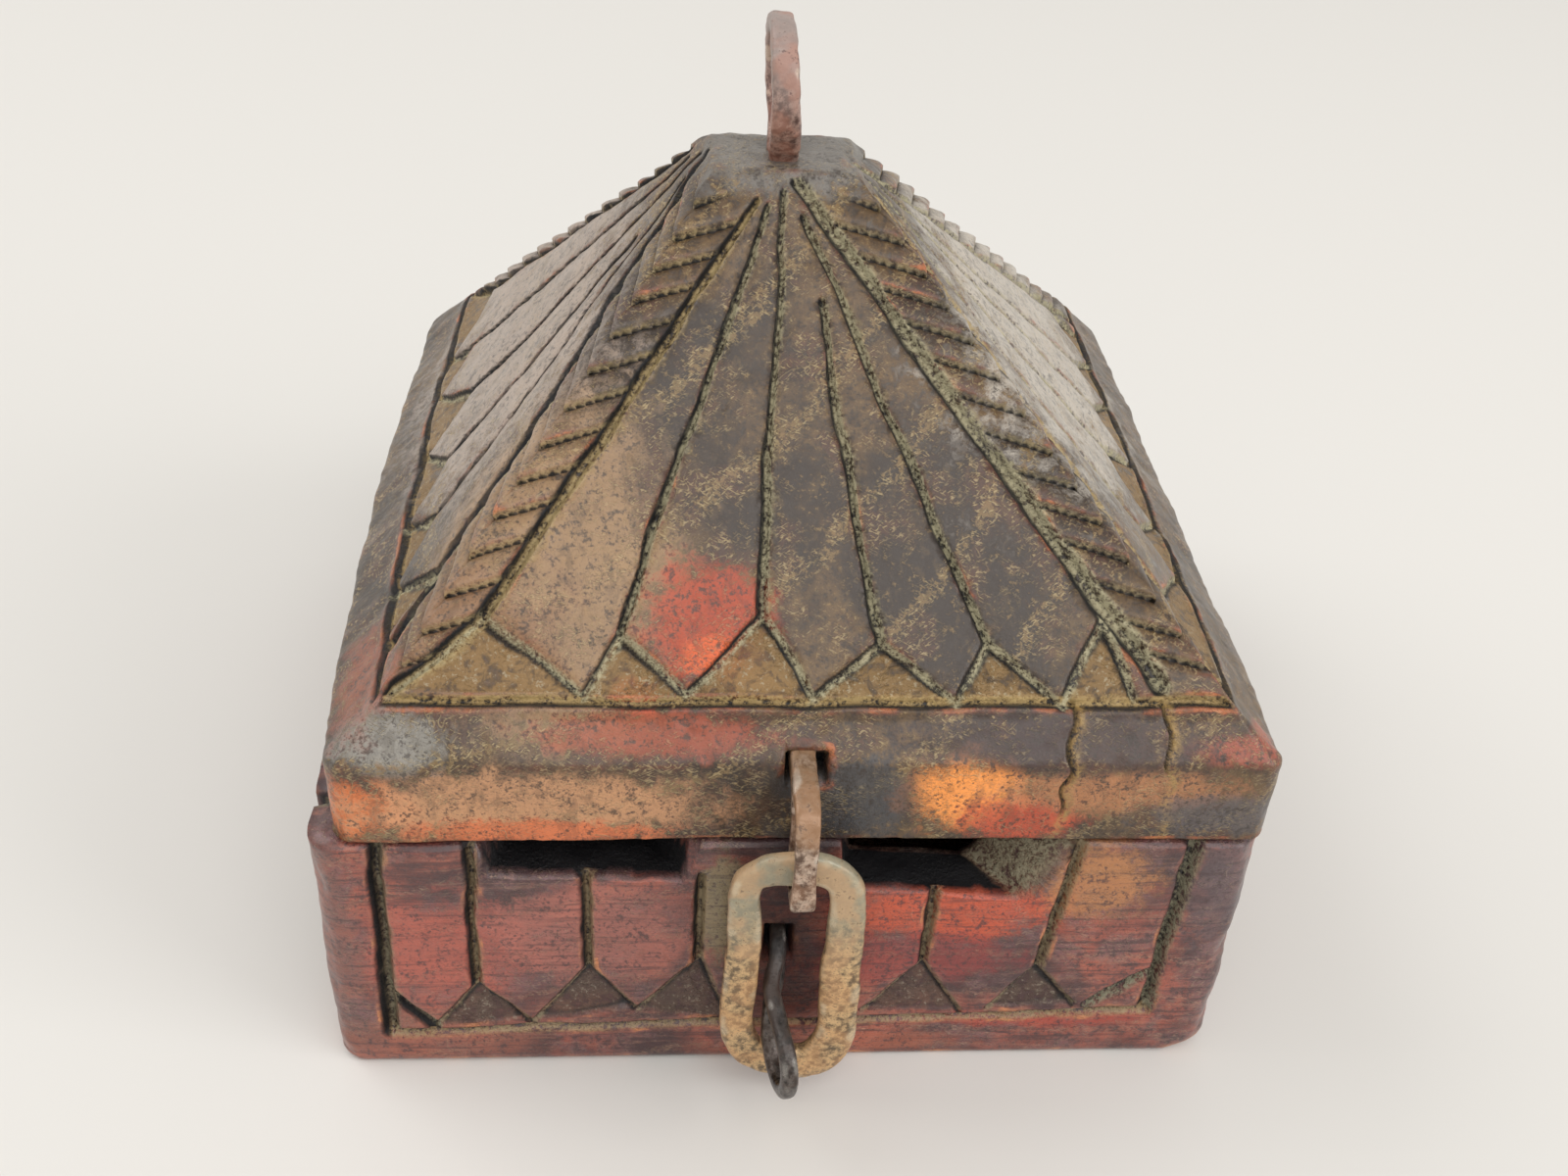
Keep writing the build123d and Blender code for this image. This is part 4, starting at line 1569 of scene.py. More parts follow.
    def carve_panel(self, x: Array, z: Array, layout: PanelLayout) -> Carving:
        """Carves one panel, from distances to its lines and pockets.

        Args:
            x: Millimetres sideways on the side, seen from outside.
            z: Height.
            layout: The panel's layout.

        Returns:
            The carving.
        """
        place = as_points(x, z, len(layout.separators))
        warp_x = x + 0.35 * self.noise.at(place, 7.0) + 0.12 * self.noise.at(place, 1.9)
        warp_z = z + 0.3 * self.noise.at(place + 33.0, 6.0)
        uneven = 1.0 + 0.25 * self.noise.at(place + 50.0, 3.0)
        carved = Carving.blank(x.shape)
        carved.groove(side_of_line(warp_x, warp_z, layout.left), self.left_groove, uneven)
        carved.groove(side_of_line(warp_x, warp_z, layout.right), self.right_groove, uneven)
        carved.groove(-side_of_line(warp_x, warp_z, layout.bottom), self.bottom_groove, uneven)
        for lines, kind in ((layout.separators, self.separator), (layout.diagonals, self.diagonal)):
            for line in lines:
                carved.groove(side_of_line(warp_x, warp_z, line), kind, uneven)
        for point, left, right in layout.pockets:
            for tip in (left, right):
                carved.groove(side_of_line(warp_x, warp_z, [point, tip]), self.pocket_edge)
            corners = [left, right, point]
            carved.sunk_triangle(warp_x, warp_z, corners, self.pocket_depth, self.pocket_foot_share)
        carved.values["depth"] += self.swell * np.exp(-carved.nearest / self.swell_reach)
        return carved

    def outside(self) -> tuple[Array, Values]:
        """The underside and the four walls, up to the rim.

        Rows run from the underside's middle outwards, round the foot and up. Above the foot, a row's height
        is the foot's height plus its share of the way to the rim, so the top row follows the rim.

        Returns:
            The grid's places and values.
        """
        half_x, half_y = self.half[:2]
        turn = np.linspace(0, np.pi / 2, 7)
        wall_rows = 96
        under = [50.0, 25.0, 10.0]
        inset = np.concatenate([under, self.foot_radius * (1 - np.sin(turn)), np.zeros(wall_rows)])
        height = np.concatenate([np.zeros(len(under)), self.foot_radius * (1 - np.cos(turn))])
        share = np.concatenate([np.zeros(len(height)), np.linspace(0, 1, wall_rows + 1)[1:]])
        height = np.concatenate([height, np.full(wall_rows, self.foot_radius)])
        row_x, row_y = half_x - inset, half_y - inset
        x, y = self.columns.outline(row_x, row_y, np.ones(len(inset)))
        radius = np.minimum(self.corner_radius + 0 * x, 0.5 * row_x[:, None])
        x, y = round_corners(x, y, row_x[:, None], row_y[:, None], radius)
        rim = self.rim_height(x[-1], y[-1])
        z = height[:, None] + share[:, None] * (rim[None] - self.foot_radius)
        points = as_points(x + self.middle[0], y + self.middle[1], z)
        normals = grid_normals(points)
        normals[height > 0, :, 2] = 0.0
        carved = self.carve_sides(points)
        worn = self.wear.depth(self.noise, points)
        depth = np.clip(worn, 0, None) + carved.values["depth"] + self.corner_wear(points)
        depth = depth * smooth_step(z, 0.0, 2.0)
        points = points - normals * depth[..., None]
        points[..., 2] += self.foot_wear(points)
        relief = grid_relief(points, grid_normals(points), 3)
        return points, {"relief": relief, **{name: carved.values[name] for name in CARVED_VALUES}}

    def corner_wear(self, points: Array) -> Array:
        """Depth that wear has taken off the upright corners, in uneven chips."""
        inward = self.half[:2] - np.abs(points[..., :2] - self.middle[:2])
        from_corner = np.hypot(inward[..., 0], inward[..., 1])
        return smooth_step(-from_corner, -7.0, 0.0) * (0.7 + 0.6 * self.noise.layered(points, 6.0, 2))

    def foot_wear(self, points: Array) -> Array:
        """Rise of the underside at its worn front corners: a straight slope over the last millimetres.

        Args:
            points: The surface's places.

        Returns:
            The rise in millimetres.
        """
        on_left = points[..., 0] < 0
        along = np.abs(points[..., 0]) - self.half[0]
        inward = np.abs(points[..., 1] + self.half[1])
        reach, slope = (np.where(on_left, *pair) for pair in (self.foot_chip, self.foot_chip_slope))
        rise = np.clip(reach + along - 0.8 * inward, 0, None) * slope
        return rise * smooth_step(-points[..., 2], -7.0, 0.0)

    def carve_sides(self, points: Array) -> Carving:
        """Carving of the four panels, the hole for the lock staple and a painted shadow of the link on the
        wall behind it.

        Args:
            points: The surface's places before carving.

        Returns:
            The carving of every place.
        """
        result = Carving.blank(points.shape[:-1])
        for side in Side:
            column = self.columns.on(side)
            local = points[:, column]
            layout = self.front_panel if side is Side.FRONT else self.even_panel
            carved = self.carve_panel(side.sign * local[..., side.axis], local[..., 2], layout)
            for name, values in carved.values.items():
                result.values[name][:, column] = values
        low, high = cad_box("lock_staple")
        x, z = points[..., 0], points[..., 2]
        front = (self.columns.sides() == Side.FRONT.value)[None]
        hole = front * square_hole(
            x, z, (low[0] - 0.7, high[2] - 6.6), (high[0] + 0.9, high[2] + 0.9), (0.2, 0.4)
        )
        result.values["depth"] += self.lock_hole_depth * hole
        # Painted shadow of the hanging link, and painted shade in the staple's hole.
        link_shadow = np.exp(-((x - 1.0) / 8.0) ** 2) * smooth_step(z, 6.0, 14.0) * front
        result.lift("shade", np.maximum(hole, 0.75 * link_shadow))
        return result

    def well(self, centre: Pair) -> Array:
        """One well's inside, from the rim down its walls and in over its floor.

        Args:
            centre: The well's middle.

        Returns:
            The grid's places.
        """
        wall_rows = 9
        fillet = self.floor_fillet
        turn = np.linspace(0, np.pi / 2, 6)
        on_floor = [self.well_half * 0.5, self.well_half * 0.85]
        inset = np.concatenate([np.zeros(wall_rows), fillet * (1 - np.cos(turn)), on_floor])
        lift = np.concatenate([np.full(wall_rows, fillet), fillet * (1 - np.sin(turn)), [0.0, 0.0]])
        share = np.zeros(len(inset))
        share[:wall_rows] = np.linspace(1, 0, wall_rows + 1)[:-1]
        row = self.well_half - inset
        x, y = Columns(front=30, other=30).outline(row, row, np.ones(len(row)))
        radius = np.minimum(self.well_radius, 0.9 * row)[:, None] + 0 * x
        x, y = round_corners(x, y, row[:, None], row[:, None], radius)
        x, y = x + centre[0], y + centre[1]
        rim = self.rim_height(x[0], y[0])
        z = self.floor + lift[:, None] + share[:, None] * (rim[None] - self.floor - fillet)
        points = as_points(x, y, z)
        wave = 0.35 * self.noise.layered(points, 9.0, 2)
        wave[0] = 0.0
        return points + grid_normals(points) * wave[..., None]

    def scoop_tones(self, points: Array) -> Values:
        """Surface values of the rim: painted shade in the scoops, under the lid, but dusty on the right
        scoop's sloping end.

        Args:
            points: Places on the rim.

        Returns:
            The values by name.
        """
        x, inside = points[:, 0], points[:, 1] + self.half[1]
        scooped = smooth_step(self.top - 2.2 - points[:, 2], 0.0, 1.5)
        scoop = self.scoops[1]
        up_end = (scoop.right - scoop.right_splay * inside - x) / scoop.end_run
        facet = smooth_step(up_end, -0.4, -0.1) * smooth_step(-up_end, -1.3, -1.0)
        facet = facet * smooth_step(self.wall + 1.0 - inside, 0.0, 1.0)
        # Painted shade in the scoops, where the lid's edge shades them.
        dark = scooped * (1 - facet)
        return {"relief": 0 * dark, "shade": dark, "dust": 0.8 * facet, "crust": 0.3 * facet, "pocket": facet}

    def gap_to_wells(self, places: Array) -> Array:
        """Distance from each place to the nearest well's rounded edge.

        Args:
            places: Places by x and y.

        Returns:
            The distances, below 0 inside a well.
        """
        half, middle = self.well_half, self.well_middle
        away = np.abs(np.abs(places) - middle) - half
        outer = np.hypot(*np.clip(away + self.well_radius, 0, None).T)
        return outer + np.minimum(away.max(axis=1) + self.well_radius, 0.0) - self.well_radius

    def rim(self, shell: Shell, outer: Array, wells: list[Array]) -> None:
        """Fills the top face between the outer edge and the wells, with points that carry the scoops.

        Args:
            shell: The body's surface.
            outer: Vertex numbers of the outer edge.
            wells: Vertex numbers of each well's edge.
        """
        half_x, half_y = self.half[:2]
        wall_end = self.wall - half_y
        fine, coarse = 0.8, 2.0
        grids = (
            (np.arange(1.6 - half_x, half_x - 1.5, fine), np.arange(1.4 - half_y, wall_end, fine)),
            (np.arange(2.0 - half_x, half_x - 1.5, coarse), np.arange(wall_end + 1.0, half_y - 1.5, coarse)),
        )
        extra = np.concatenate([np.stack(np.meshgrid(*pair), axis=-1).reshape(-1, 2) for pair in grids])
        in_corner = np.hypot(*np.clip(np.abs(extra) - self.half[:2] + 6.0, 0, None).T)
        extra = extra[(in_corner < 3.4) & (self.gap_to_wells(extra) > 0.6)]
        points = np.column_stack([extra, self.rim_height(extra[:, 0], extra[:, 1])])
        numbers = shell.add_points(points, self.scoop_tones(points))
        flat_places = np.concatenate(shell.points)[:, :2]
        edges = []
        start = 0
        for loop in (outer, *wells):
            own = np.arange(start, start + len(loop))
            edges += np.column_stack([own, np.roll(own, -1)]).tolist()
            start += len(loop)
        order = np.concatenate([outer, *wells, numbers])
        result = delaunay_2d_cdt([Vector(place) for place in flat_places[order]], edges, [], 1, 1e-6)
        source = np.array([group[0] for group in result[3]])
        triangles = order[source[np.array(result[2])]]
        centre = flat_places[triangles].mean(axis=1)
        triangles = triangles[self.gap_to_wells(centre) > 0]
        a, b, c = (flat_places[triangles[:, k]] for k in range(3))
        turned = np.cross(b - a, c - a) < 0
        triangles[turned] = triangles[turned][:, ::-1]
        shell.add_triangles(triangles)

    def build(self) -> bpy.types.Object:
        """Makes the body's piece in place of the plain block."""
        shell = Shell()
        grid = shell.add_grid(*self.outside())
        shell.close_end(grid[0], at_start=True)
        wells = []
        for side_x in (-1, 1):
            for side_y in (-1, 1):
                inside = self.well((side_x * self.well_middle, side_y * self.well_middle))
                # Painted shade inside the wells, with a little dust and pocket colour.
                tint = np.ones(inside.shape[:-1])
                tones = {"shade": 0.3 * tint, "dust": 0.25 * tint, "pocket": 0.5 * tint}
                hollow = shell.add_grid(inside, tones)
                shell.close_end(hollow[-1], at_start=False)
                wells.append(hollow[0])
        self.rim(shell, grid[-1], wells)
        piece = shell.to_piece("carved_body", self.wood)
        settle(piece, "box", "carved_wood", "body_block")
        return piece


@dataclass
class IronStrap:
    """A forged strap or bar: a rounded section carried along a path, hammered a little uneven."""

    name: str
    metal: bpy.types.Material
    path: Array
    across: Array
    half_width: Array | float
    half_thickness: float
    seed: int
    squareness: float
    hammered: float
    section: int = 28
    end_taper: float = 0.35
    end_reach: float = 0.18

    def surface(self) -> tuple[Array, Array]:
        """Places of the strap's surface.

        At each step of the path the rounded section is scaled by the half width along the sideways direction
        and by the half thickness along the path's direction crossed with it.

        Returns:
            The grid's places and their relief.
        """
        forward = unit(np.gradient(self.path, axis=0))
        across = unit(self.across - forward * (self.across * forward).sum(axis=1, keepdims=True))[:, None]
        upward = np.cross(forward[:, None], across)
        section = rounded_section(self.section, self.squareness, self.squareness)
        wide, thick = (part[None, :, None] for part in section)
        half_width = np.broadcast_to(self.half_width, len(self.path))[:, None, None]
        points = self.path[:, None] + across * (half_width * wide) + upward * (self.half_thickness * thick)
        noise = ValueNoise(self.seed)
        dent = self.hammered * (-0.6 + noise.layered(points, 4.5, 2) + 0.4 * noise.at(points + 9.0, 1.1))
        points = points + unit(across * wide + upward * thick) * dent[..., None]
        corner = np.abs(wide * thick)[..., 0]
        relief = 0.45 - 0.9 * corner + 0.5 * noise.at(points, 2.0) - 4.0 * dent - 0.6 * self.hammered
        return points, relief

    def build(self, body: str, slot: str, node: str) -> bpy.types.Object:
        """Makes the strap's piece, drawn in and closed at both ends, in place of its CAD node.

        Args:
            body: The body that it rides on.
            slot: Its finish slot; not used.
            node: The CAD node.

        Returns:
            The piece.
        """
        points, relief = self.surface()
        reach = np.linalg.norm(points[0] - points[0].mean(0), axis=-1).mean() * self.end_reach
        ends = []
        for end, inner in ((0, 1), (-1, -2)):
            drawn_in = points[end].mean(0) * self.end_taper + points[end] * (1 - self.end_taper)
            ends.append(drawn_in + unit(self.path[end] - self.path[inner]) * reach)
        points = np.concatenate([ends[0][None], points, ends[1][None]])
        relief = np.concatenate([relief[:1], relief, relief[-1:]])
        shell = Shell()
        shell.add_capped_grid(points[:, ::-1], {"relief": relief[:, ::-1]})
        piece = shell.to_piece(self.name, self.metal)
        settle(piece, body, slot, node)
        return piece


@dataclass
class IronFittings:
    """The lifting loop, the hasp staple, its link, the lock staple and the hinge staples."""

    rusty: bpy.types.Material
    worn: bpy.types.Material
    link_metal: bpy.types.Material
    dark: bpy.types.Material
    step: float = 0.35
    loop_thickness: float = 3.0
    loop_radius: float = 8.5
    loop_leg_place: float = 1.55
    loop_half_width: float = 2.45
    loop_lean: float = 0.9
    loop_twist: float = 6.0
    hasp_thickness: float = 2.2
    hasp_half_width: float = 1.9
    hasp_opening: float = 6.4
    lock_thickness: float = 2.8
    lock_radius: float = 7.0
    lock_leg_length: float = 28.0
    lock_turn: float = 13.0
    link_outer: Line = (
        (11.0, 28.0), (10.8, 42.0), (9.4, 49.2), (4.6, 53.6), (-2.2, 54.2), (-6.2, 52.6), (-9.5, 48.0),
        (-9.9, 36.0), (-10.4, 20.0), (-9.4, 12.0), (-6.2, 7.4), (-1.2, 4.9), (3.6, 4.3), (7.6, 6.0),
        (10.2, 10.0), (11.0, 16.0),
    )
    link_inner: Line = (
        (4.5, 28.0), (5.0, 39.0), (5.0, 45.2), (3.8, 47.9), (0.3, 48.4), (-3.2, 48.2), (-5.0, 46.2),
        (-4.4, 36.0), (-5.0, 20.0), (-4.6, 15.2), (-3.1, 12.4), (-0.6, 11.6), (2.4, 11.7), (4.0, 13.6),
        (4.8, 16.4), (4.8, 20.0),
    )
    link_places: int = 260
    link_section: int = 28

    def in_side_view(self, outline: Line, x: float) -> Array:
        """Path in space from control points given as y and z, at one x."""
        flat = open_curve(outline, self.step)
        return np.column_stack([np.full(len(flat), x), flat])

    def loop(self) -> bpy.types.Object:
        """The lid's lifting loop: one bent strap whose two legs go down side by side through the crown.

        The eye's control points lie a little outside its middle line, because the curve runs inside them.

        Returns:
            The piece.
        """
        low, high = cad_box("lid_loop")
        x, y, _ = (low + high) / 2
        half = self.loop_thickness / 2
        leg = y + self.loop_leg_place
        centre = high[2] - self.loop_radius - half
        reach = self.loop_radius * 1.06
        turns = np.radians(np.arange(50, 311, 26))
        eye = [(y + reach * np.sin(turn), centre - reach * np.cos(turn)) for turn in turns]
        foot = low[2] + half
        right_leg = [(y + 7.0, foot), (y + 3.4, foot), (leg, foot + 2.2)]
        right_leg += [(leg, z) for z in np.linspace(foot + 6.0, centre - self.loop_radius - 1.5, 5)]
        left_leg = [(2 * y - place, z) for place, z in right_leg][::-1]
        path = self.in_side_view(right_leg + eye + left_leg, x)
        up = smooth_step(path[:, 2], centre - self.loop_radius, high[2])
        path[:, 0] -= self.loop_lean * up
        twist = np.radians(self.loop_twist) * up
        strap = IronStrap(
            name="lifting_loop",
            metal=self.rusty,
            path=path,
            across=as_points(np.cos(twist), np.sin(twist), 0.0),
            half_width=self.loop_half_width - 0.35 * up,
            half_thickness=half - 0.05,
            seed=31,
            squareness=0.6,
            hammered=0.22,
        )
        return strap.build("lid", "rusty_iron", "lid_loop")

    def hasp_staple(self) -> bpy.types.Object:
        """The long narrow eye on the lid's front: one strap bent round, with two legs clinched inside."""
        low, high = cad_box("hasp_staple")
        thickness = self.hasp_thickness
        half = thickness / 2
        front = low[1] + half
        back = front + self.hasp_opening + thickness
        high_leg = high[2] - half
        low_leg = high_leg - thickness - 0.1
        foot = low[2] + half
        clinch = high[1] - half
        upper_leg = [
            (clinch, high_leg + 2.9), (clinch - 0.2, high_leg + 1.0), (clinch - 2.2, high_leg),
            (clinch - 8.0, high_leg), (back, high_leg), (front + 4.6, high_leg),
            (front + 1.4, high_leg - 0.3), (front + 0.1, high_leg - 3.0), (front, high_leg - 6.0),
        ]
        eye_foot = [
            (front, foot + 4.0), (front + 0.1, foot + 0.6), (front + 1.2, foot - 0.1),
            (back - 1.4, foot - 0.1), (back - 0.1, foot + 0.6), (back, foot + 4.0),
        ]
        lower_leg = [
            (back, low_leg - 3.0), (back + 0.2, low_leg - 0.4), (back + 2.4, low_leg),
            (clinch - 5.0, low_leg), (clinch - 1.6, low_leg), (clinch, low_leg - 1.6),
            (clinch, low_leg - 6.0),
        ]
        path = self.in_side_view(upper_leg + eye_foot + lower_leg, (low[0] + high[0]) / 2)
        up = smooth_step(path[:, 2], foot, high_leg)
        strap = IronStrap(
            name="hasp_strap",
            metal=self.worn,
            path=path,
            across=np.tile([1.0, 0.0, 0.0], (len(path), 1)),
            half_width=self.hasp_half_width - 0.22 * np.sin(up * np.pi),
            half_thickness=half - 0.05,
            seed=37,
            squareness=0.45,
            hammered=0.14,
        )
        return strap.build("lid", "worn_iron", "hasp_staple")

    def hasp_link(self) -> bpy.types.Object:
        """The flattened link: a band between two uneven closed outlines, in the upright plane of its bars.

        At each place the band's middle is halfway between the outlines, its half width is half their
        distance, and the section is a rounded rectangle across that line.

        Returns:
            The piece.
        """
        low, high = cad_box("hasp_link")
        plane = (low[1] + high[1]) / 2
        half_thickness = (high[1] - low[1]) / 2 - 0.1
        outer, inner = (closed_curve(line, self.link_places) for line in (self.link_outer, self.link_inner))
        middle = ((outer + inner) / 2)[:, None]
        half_width = (np.linalg.norm(outer - inner, axis=1) / 2)[:, None]
        direction = unit(outer - inner)[:, None]
        wide, thick = rounded_section(self.link_section, 0.5, 0.62)
        flat = middle + direction * (half_width * wide)[..., None]
        points = as_points(flat[..., 0], plane + half_thickness * thick, flat[..., 1])
        outward = unit(as_points(direction[..., 0] * wide, thick, direction[..., 1] * wide))
        noise = ValueNoise(43)
        dent = 0.2 * (noise.layered(points, 5.0, 2) - 0.7) + 0.07 * noise.at(points, 1.2)
        points = points + outward * dent[..., None]
        corner = np.abs(wide * thick)
        relief = 0.45 - 0.95 * corner - 0.9 * (dent + 0.14) + 0.25 * noise.at(points, 1.4)
        shell = Shell()
        shell.add_ring(points, {"relief": relief})
        piece = shell.to_piece("hasp_link_band", self.link_metal)
        settle(piece, "link", "worn_iron", "hasp_link")
        return piece

    def lock_staple(self) -> bpy.types.Object:
        """The drooping eye on the body's front, turned a little on its neck, with its two legs in the wood.

        The eye's control points lie a little outside its middle line, because the curve runs inside them.
        Past the neck, the strap turns about an upright line through the eye's middle, more of it further out.

        Returns:
            The piece.
        """
        low, high = cad_box("lock_staple")
        half = self.lock_thickness / 2
        reach = (self.lock_radius - half) * 1.05
        eye_y, eye_z = low[1] + self.lock_radius, low[2] + self.lock_radius
        high_leg = high[2] - half
        low_leg = high[2] - self.lock_thickness * 1.5 - 0.05
        inner, wall = high[1], high[1] - self.lock_leg_length
        neck = np.degrees(np.arctan2(high[2] - self.lock_thickness - eye_z, wall - 1.6 - eye_y))
        turns = np.radians(np.arange(neck + 42.0, neck + 319.0, 23.0))
        eye = [(eye_y + reach * np.cos(turn), eye_z + reach * np.sin(turn)) for turn in turns]
        upper_leg = [
            (inner - 2.0, high_leg - 1.1), (inner - 6.0, high_leg), (wall + 6.0, high_leg),
            (wall + 1.0, high_leg), (wall - 1.8, high_leg - 0.6), (wall - 4.2, high_leg - 2.6),
        ]
        lower_leg = [
            (wall - 3.0, low_leg - 2.6), (wall - 0.6, low_leg - 0.3), (wall + 3.0, low_leg),
            (wall + 10.0, low_leg), (inner - 6.0, low_leg), (inner - 2.0, low_leg + 1.1),
        ]
        path = self.in_side_view(upper_leg + eye + lower_leg, (low[0] + high[0]) / 2)
        beyond = np.clip(wall - 2.0 - path[:, 1], 0, None)
        turn = np.radians(self.lock_turn) * smooth_step(beyond, 0.0, 6.0)
        from_eye = path[:, 1] - eye_y
        path[:, 0] -= from_eye * np.sin(turn)
        path[:, 1] = np.where(turn > 0, eye_y + from_eye * np.cos(turn), path[:, 1])
        strap = IronStrap(
            name="lock_eye",
            metal=self.dark,
            path=path,
            across=as_points(np.cos(turn), np.sin(turn), 0.0),
            half_width=half - 0.06,
            half_thickness=half - 0.06,
            seed=41,
            squareness=0.8,
            hammered=0.1,
        )
        return strap.build("box", "dark_iron", "lock_staple")

    def hinges(self) -> None:
        """Gives the hinge staples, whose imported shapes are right, their forged finish."""
        for holder in ("body", "lid"):
            for side in ("left", "right"):
                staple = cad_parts[f"hinge_staple_{holder}_{side}"]
                staple.data.materials.clear()
                staple.data.materials.append(self.dark)


@dataclass(frozen=True)
class Lamp:
    """A soft square lamp: its place and side in metres, and its power in watts."""

    name: str
    place: Point
    size: float
    power: float

    def build(self, target: Vector) -> None:
        """Adds the lamp to the scene.

        Args:
            target: The place in metres that it faces.
        """
        data = bpy.data.lights.new(self.name, "AREA")
        data.size = self.size
        data.energy = self.power
        aim = (target - Vector(self.place)).to_track_quat("-Z", "Y")
        lamp = add_object(self.name, data)
        lamp.matrix_world = Matrix.Translation(self.place) @ aim.to_matrix().to_4x4()


@dataclass(frozen=True)
class Studio:
    """Pale floor and soft lights, with their sizes in metres, and the photograph's camera, in millimetres."""

    focal_pixels: float = 1665.8
    picture_width: float = 1600.0
    sensor: float = 36.0
    camera_place: Point = (-18.9, -243.1, 221.5)
    yaw: float = 0.0886
    pitch: float = 0.6292
    roll: float = -0.0585
    floor_colour: Colour = srgb(223, 221, 217)
    backdrop: Colour = srgb(238, 235, 230)
    world_light: float = 0.7
    floor_reach: float = 4.0
    lamp_target: Point = (0.0, 0.0, 0.06)
    lamps: tuple[Lamp, ...] = (
        Lamp("window", (-1.5, 0.6, 1.7), 1.5, 16.0),
        Lamp("sky", (0.2, -1.4, 2.0), 1.8, 22.0),
        Lamp("fill", (1.7, -0.9, 1.1), 1.2, 16.0),
    )

    def camera(self) -> None:
        """Sets the camera from its place, its turns and its focal length in pixels of the photograph."""
        forward = Vector((
            np.sin(self.yaw) * np.cos(self.pitch), np.cos(self.yaw) * np.cos(self.pitch), -np.sin(self.pitch)
        ))
        level = Vector((np.cos(self.yaw), -np.sin(self.yaw), 0.0))
        down = forward.cross(level)
        right = level * np.cos(self.roll) + down * np.sin(self.roll)
        below = down * np.cos(self.roll) - level * np.sin(self.roll)
        data = bpy.data.cameras.new("photo_camera")
        data.sensor_width = self.sensor
        data.lens = self.sensor * self.focal_pixels / self.picture_width
        data.clip_start = 0.01
        camera = add_object("photo_camera", data)
        turned = Matrix((right, -below, -forward)).transposed().to_4x4()
        camera.matrix_world = Matrix.Translation(Vector(self.camera_place) * MILLIMETRE) @ turned
        bpy.context.scene.camera = camera

    def floor(self) -> None:
        """Lays a large plain floor under the box."""
        mesh = bpy.data.meshes.new("floor")
        reach = self.floor_reach
        corners = [(-reach, -reach, 0), (reach, -reach, 0), (reach, reach, 0), (-reach, reach, 0)]
        mesh.from_pydata(corners, [], [(0, 1, 2, 3)])
        floor = add_object("floor", mesh)
        board = Board(bpy.data.materials.new("floor_paint"))
        sockets = {"Base Color": self.floor_colour, "Roughness": 0.7, "Specular IOR Level": 0.2}
        shader = board.out("ShaderNodeBsdfPrincipled", {}, sockets, "BSDF")
        board.node("ShaderNodeOutputMaterial", {}, {"Surface": shader})
        mesh.materials.append(board.owner)

    def lights(self) -> None:
        """Sets the even world light, brighter where the camera and reflections see it, and the lamps."""
        world = bpy.data.worlds.new("studio")
        bpy.context.scene.world = world
        board = Board(world)
        seen = board.out("ShaderNodeLightPath", {}, {}, "Is Camera Ray")
        seen = seen.higher(board.out("ShaderNodeLightPath", {}, {}, "Is Glossy Ray"))
        kind = "ShaderNodeBackground"
        glow, shown = (
            board.out(kind, {}, {"Color": self.backdrop, "Strength": strength}, "Background")
            for strength in (self.world_light, 1.0)
        )
        mixed = board.out("ShaderNodeMixShader", {}, {0: seen, 1: glow, 2: shown}, "Shader")
        board.node("ShaderNodeOutputWorld", {}, {"Surface": mixed})
        for lamp in self.lamps:
            lamp.build(Vector(self.lamp_target))

    def build(self) -> None:
        """Sets camera, floor and lights, and the plain view transform."""
        self.camera()
        self.floor()
        self.lights()
        bpy.context.scene.view_settings.view_transform = "Standard"


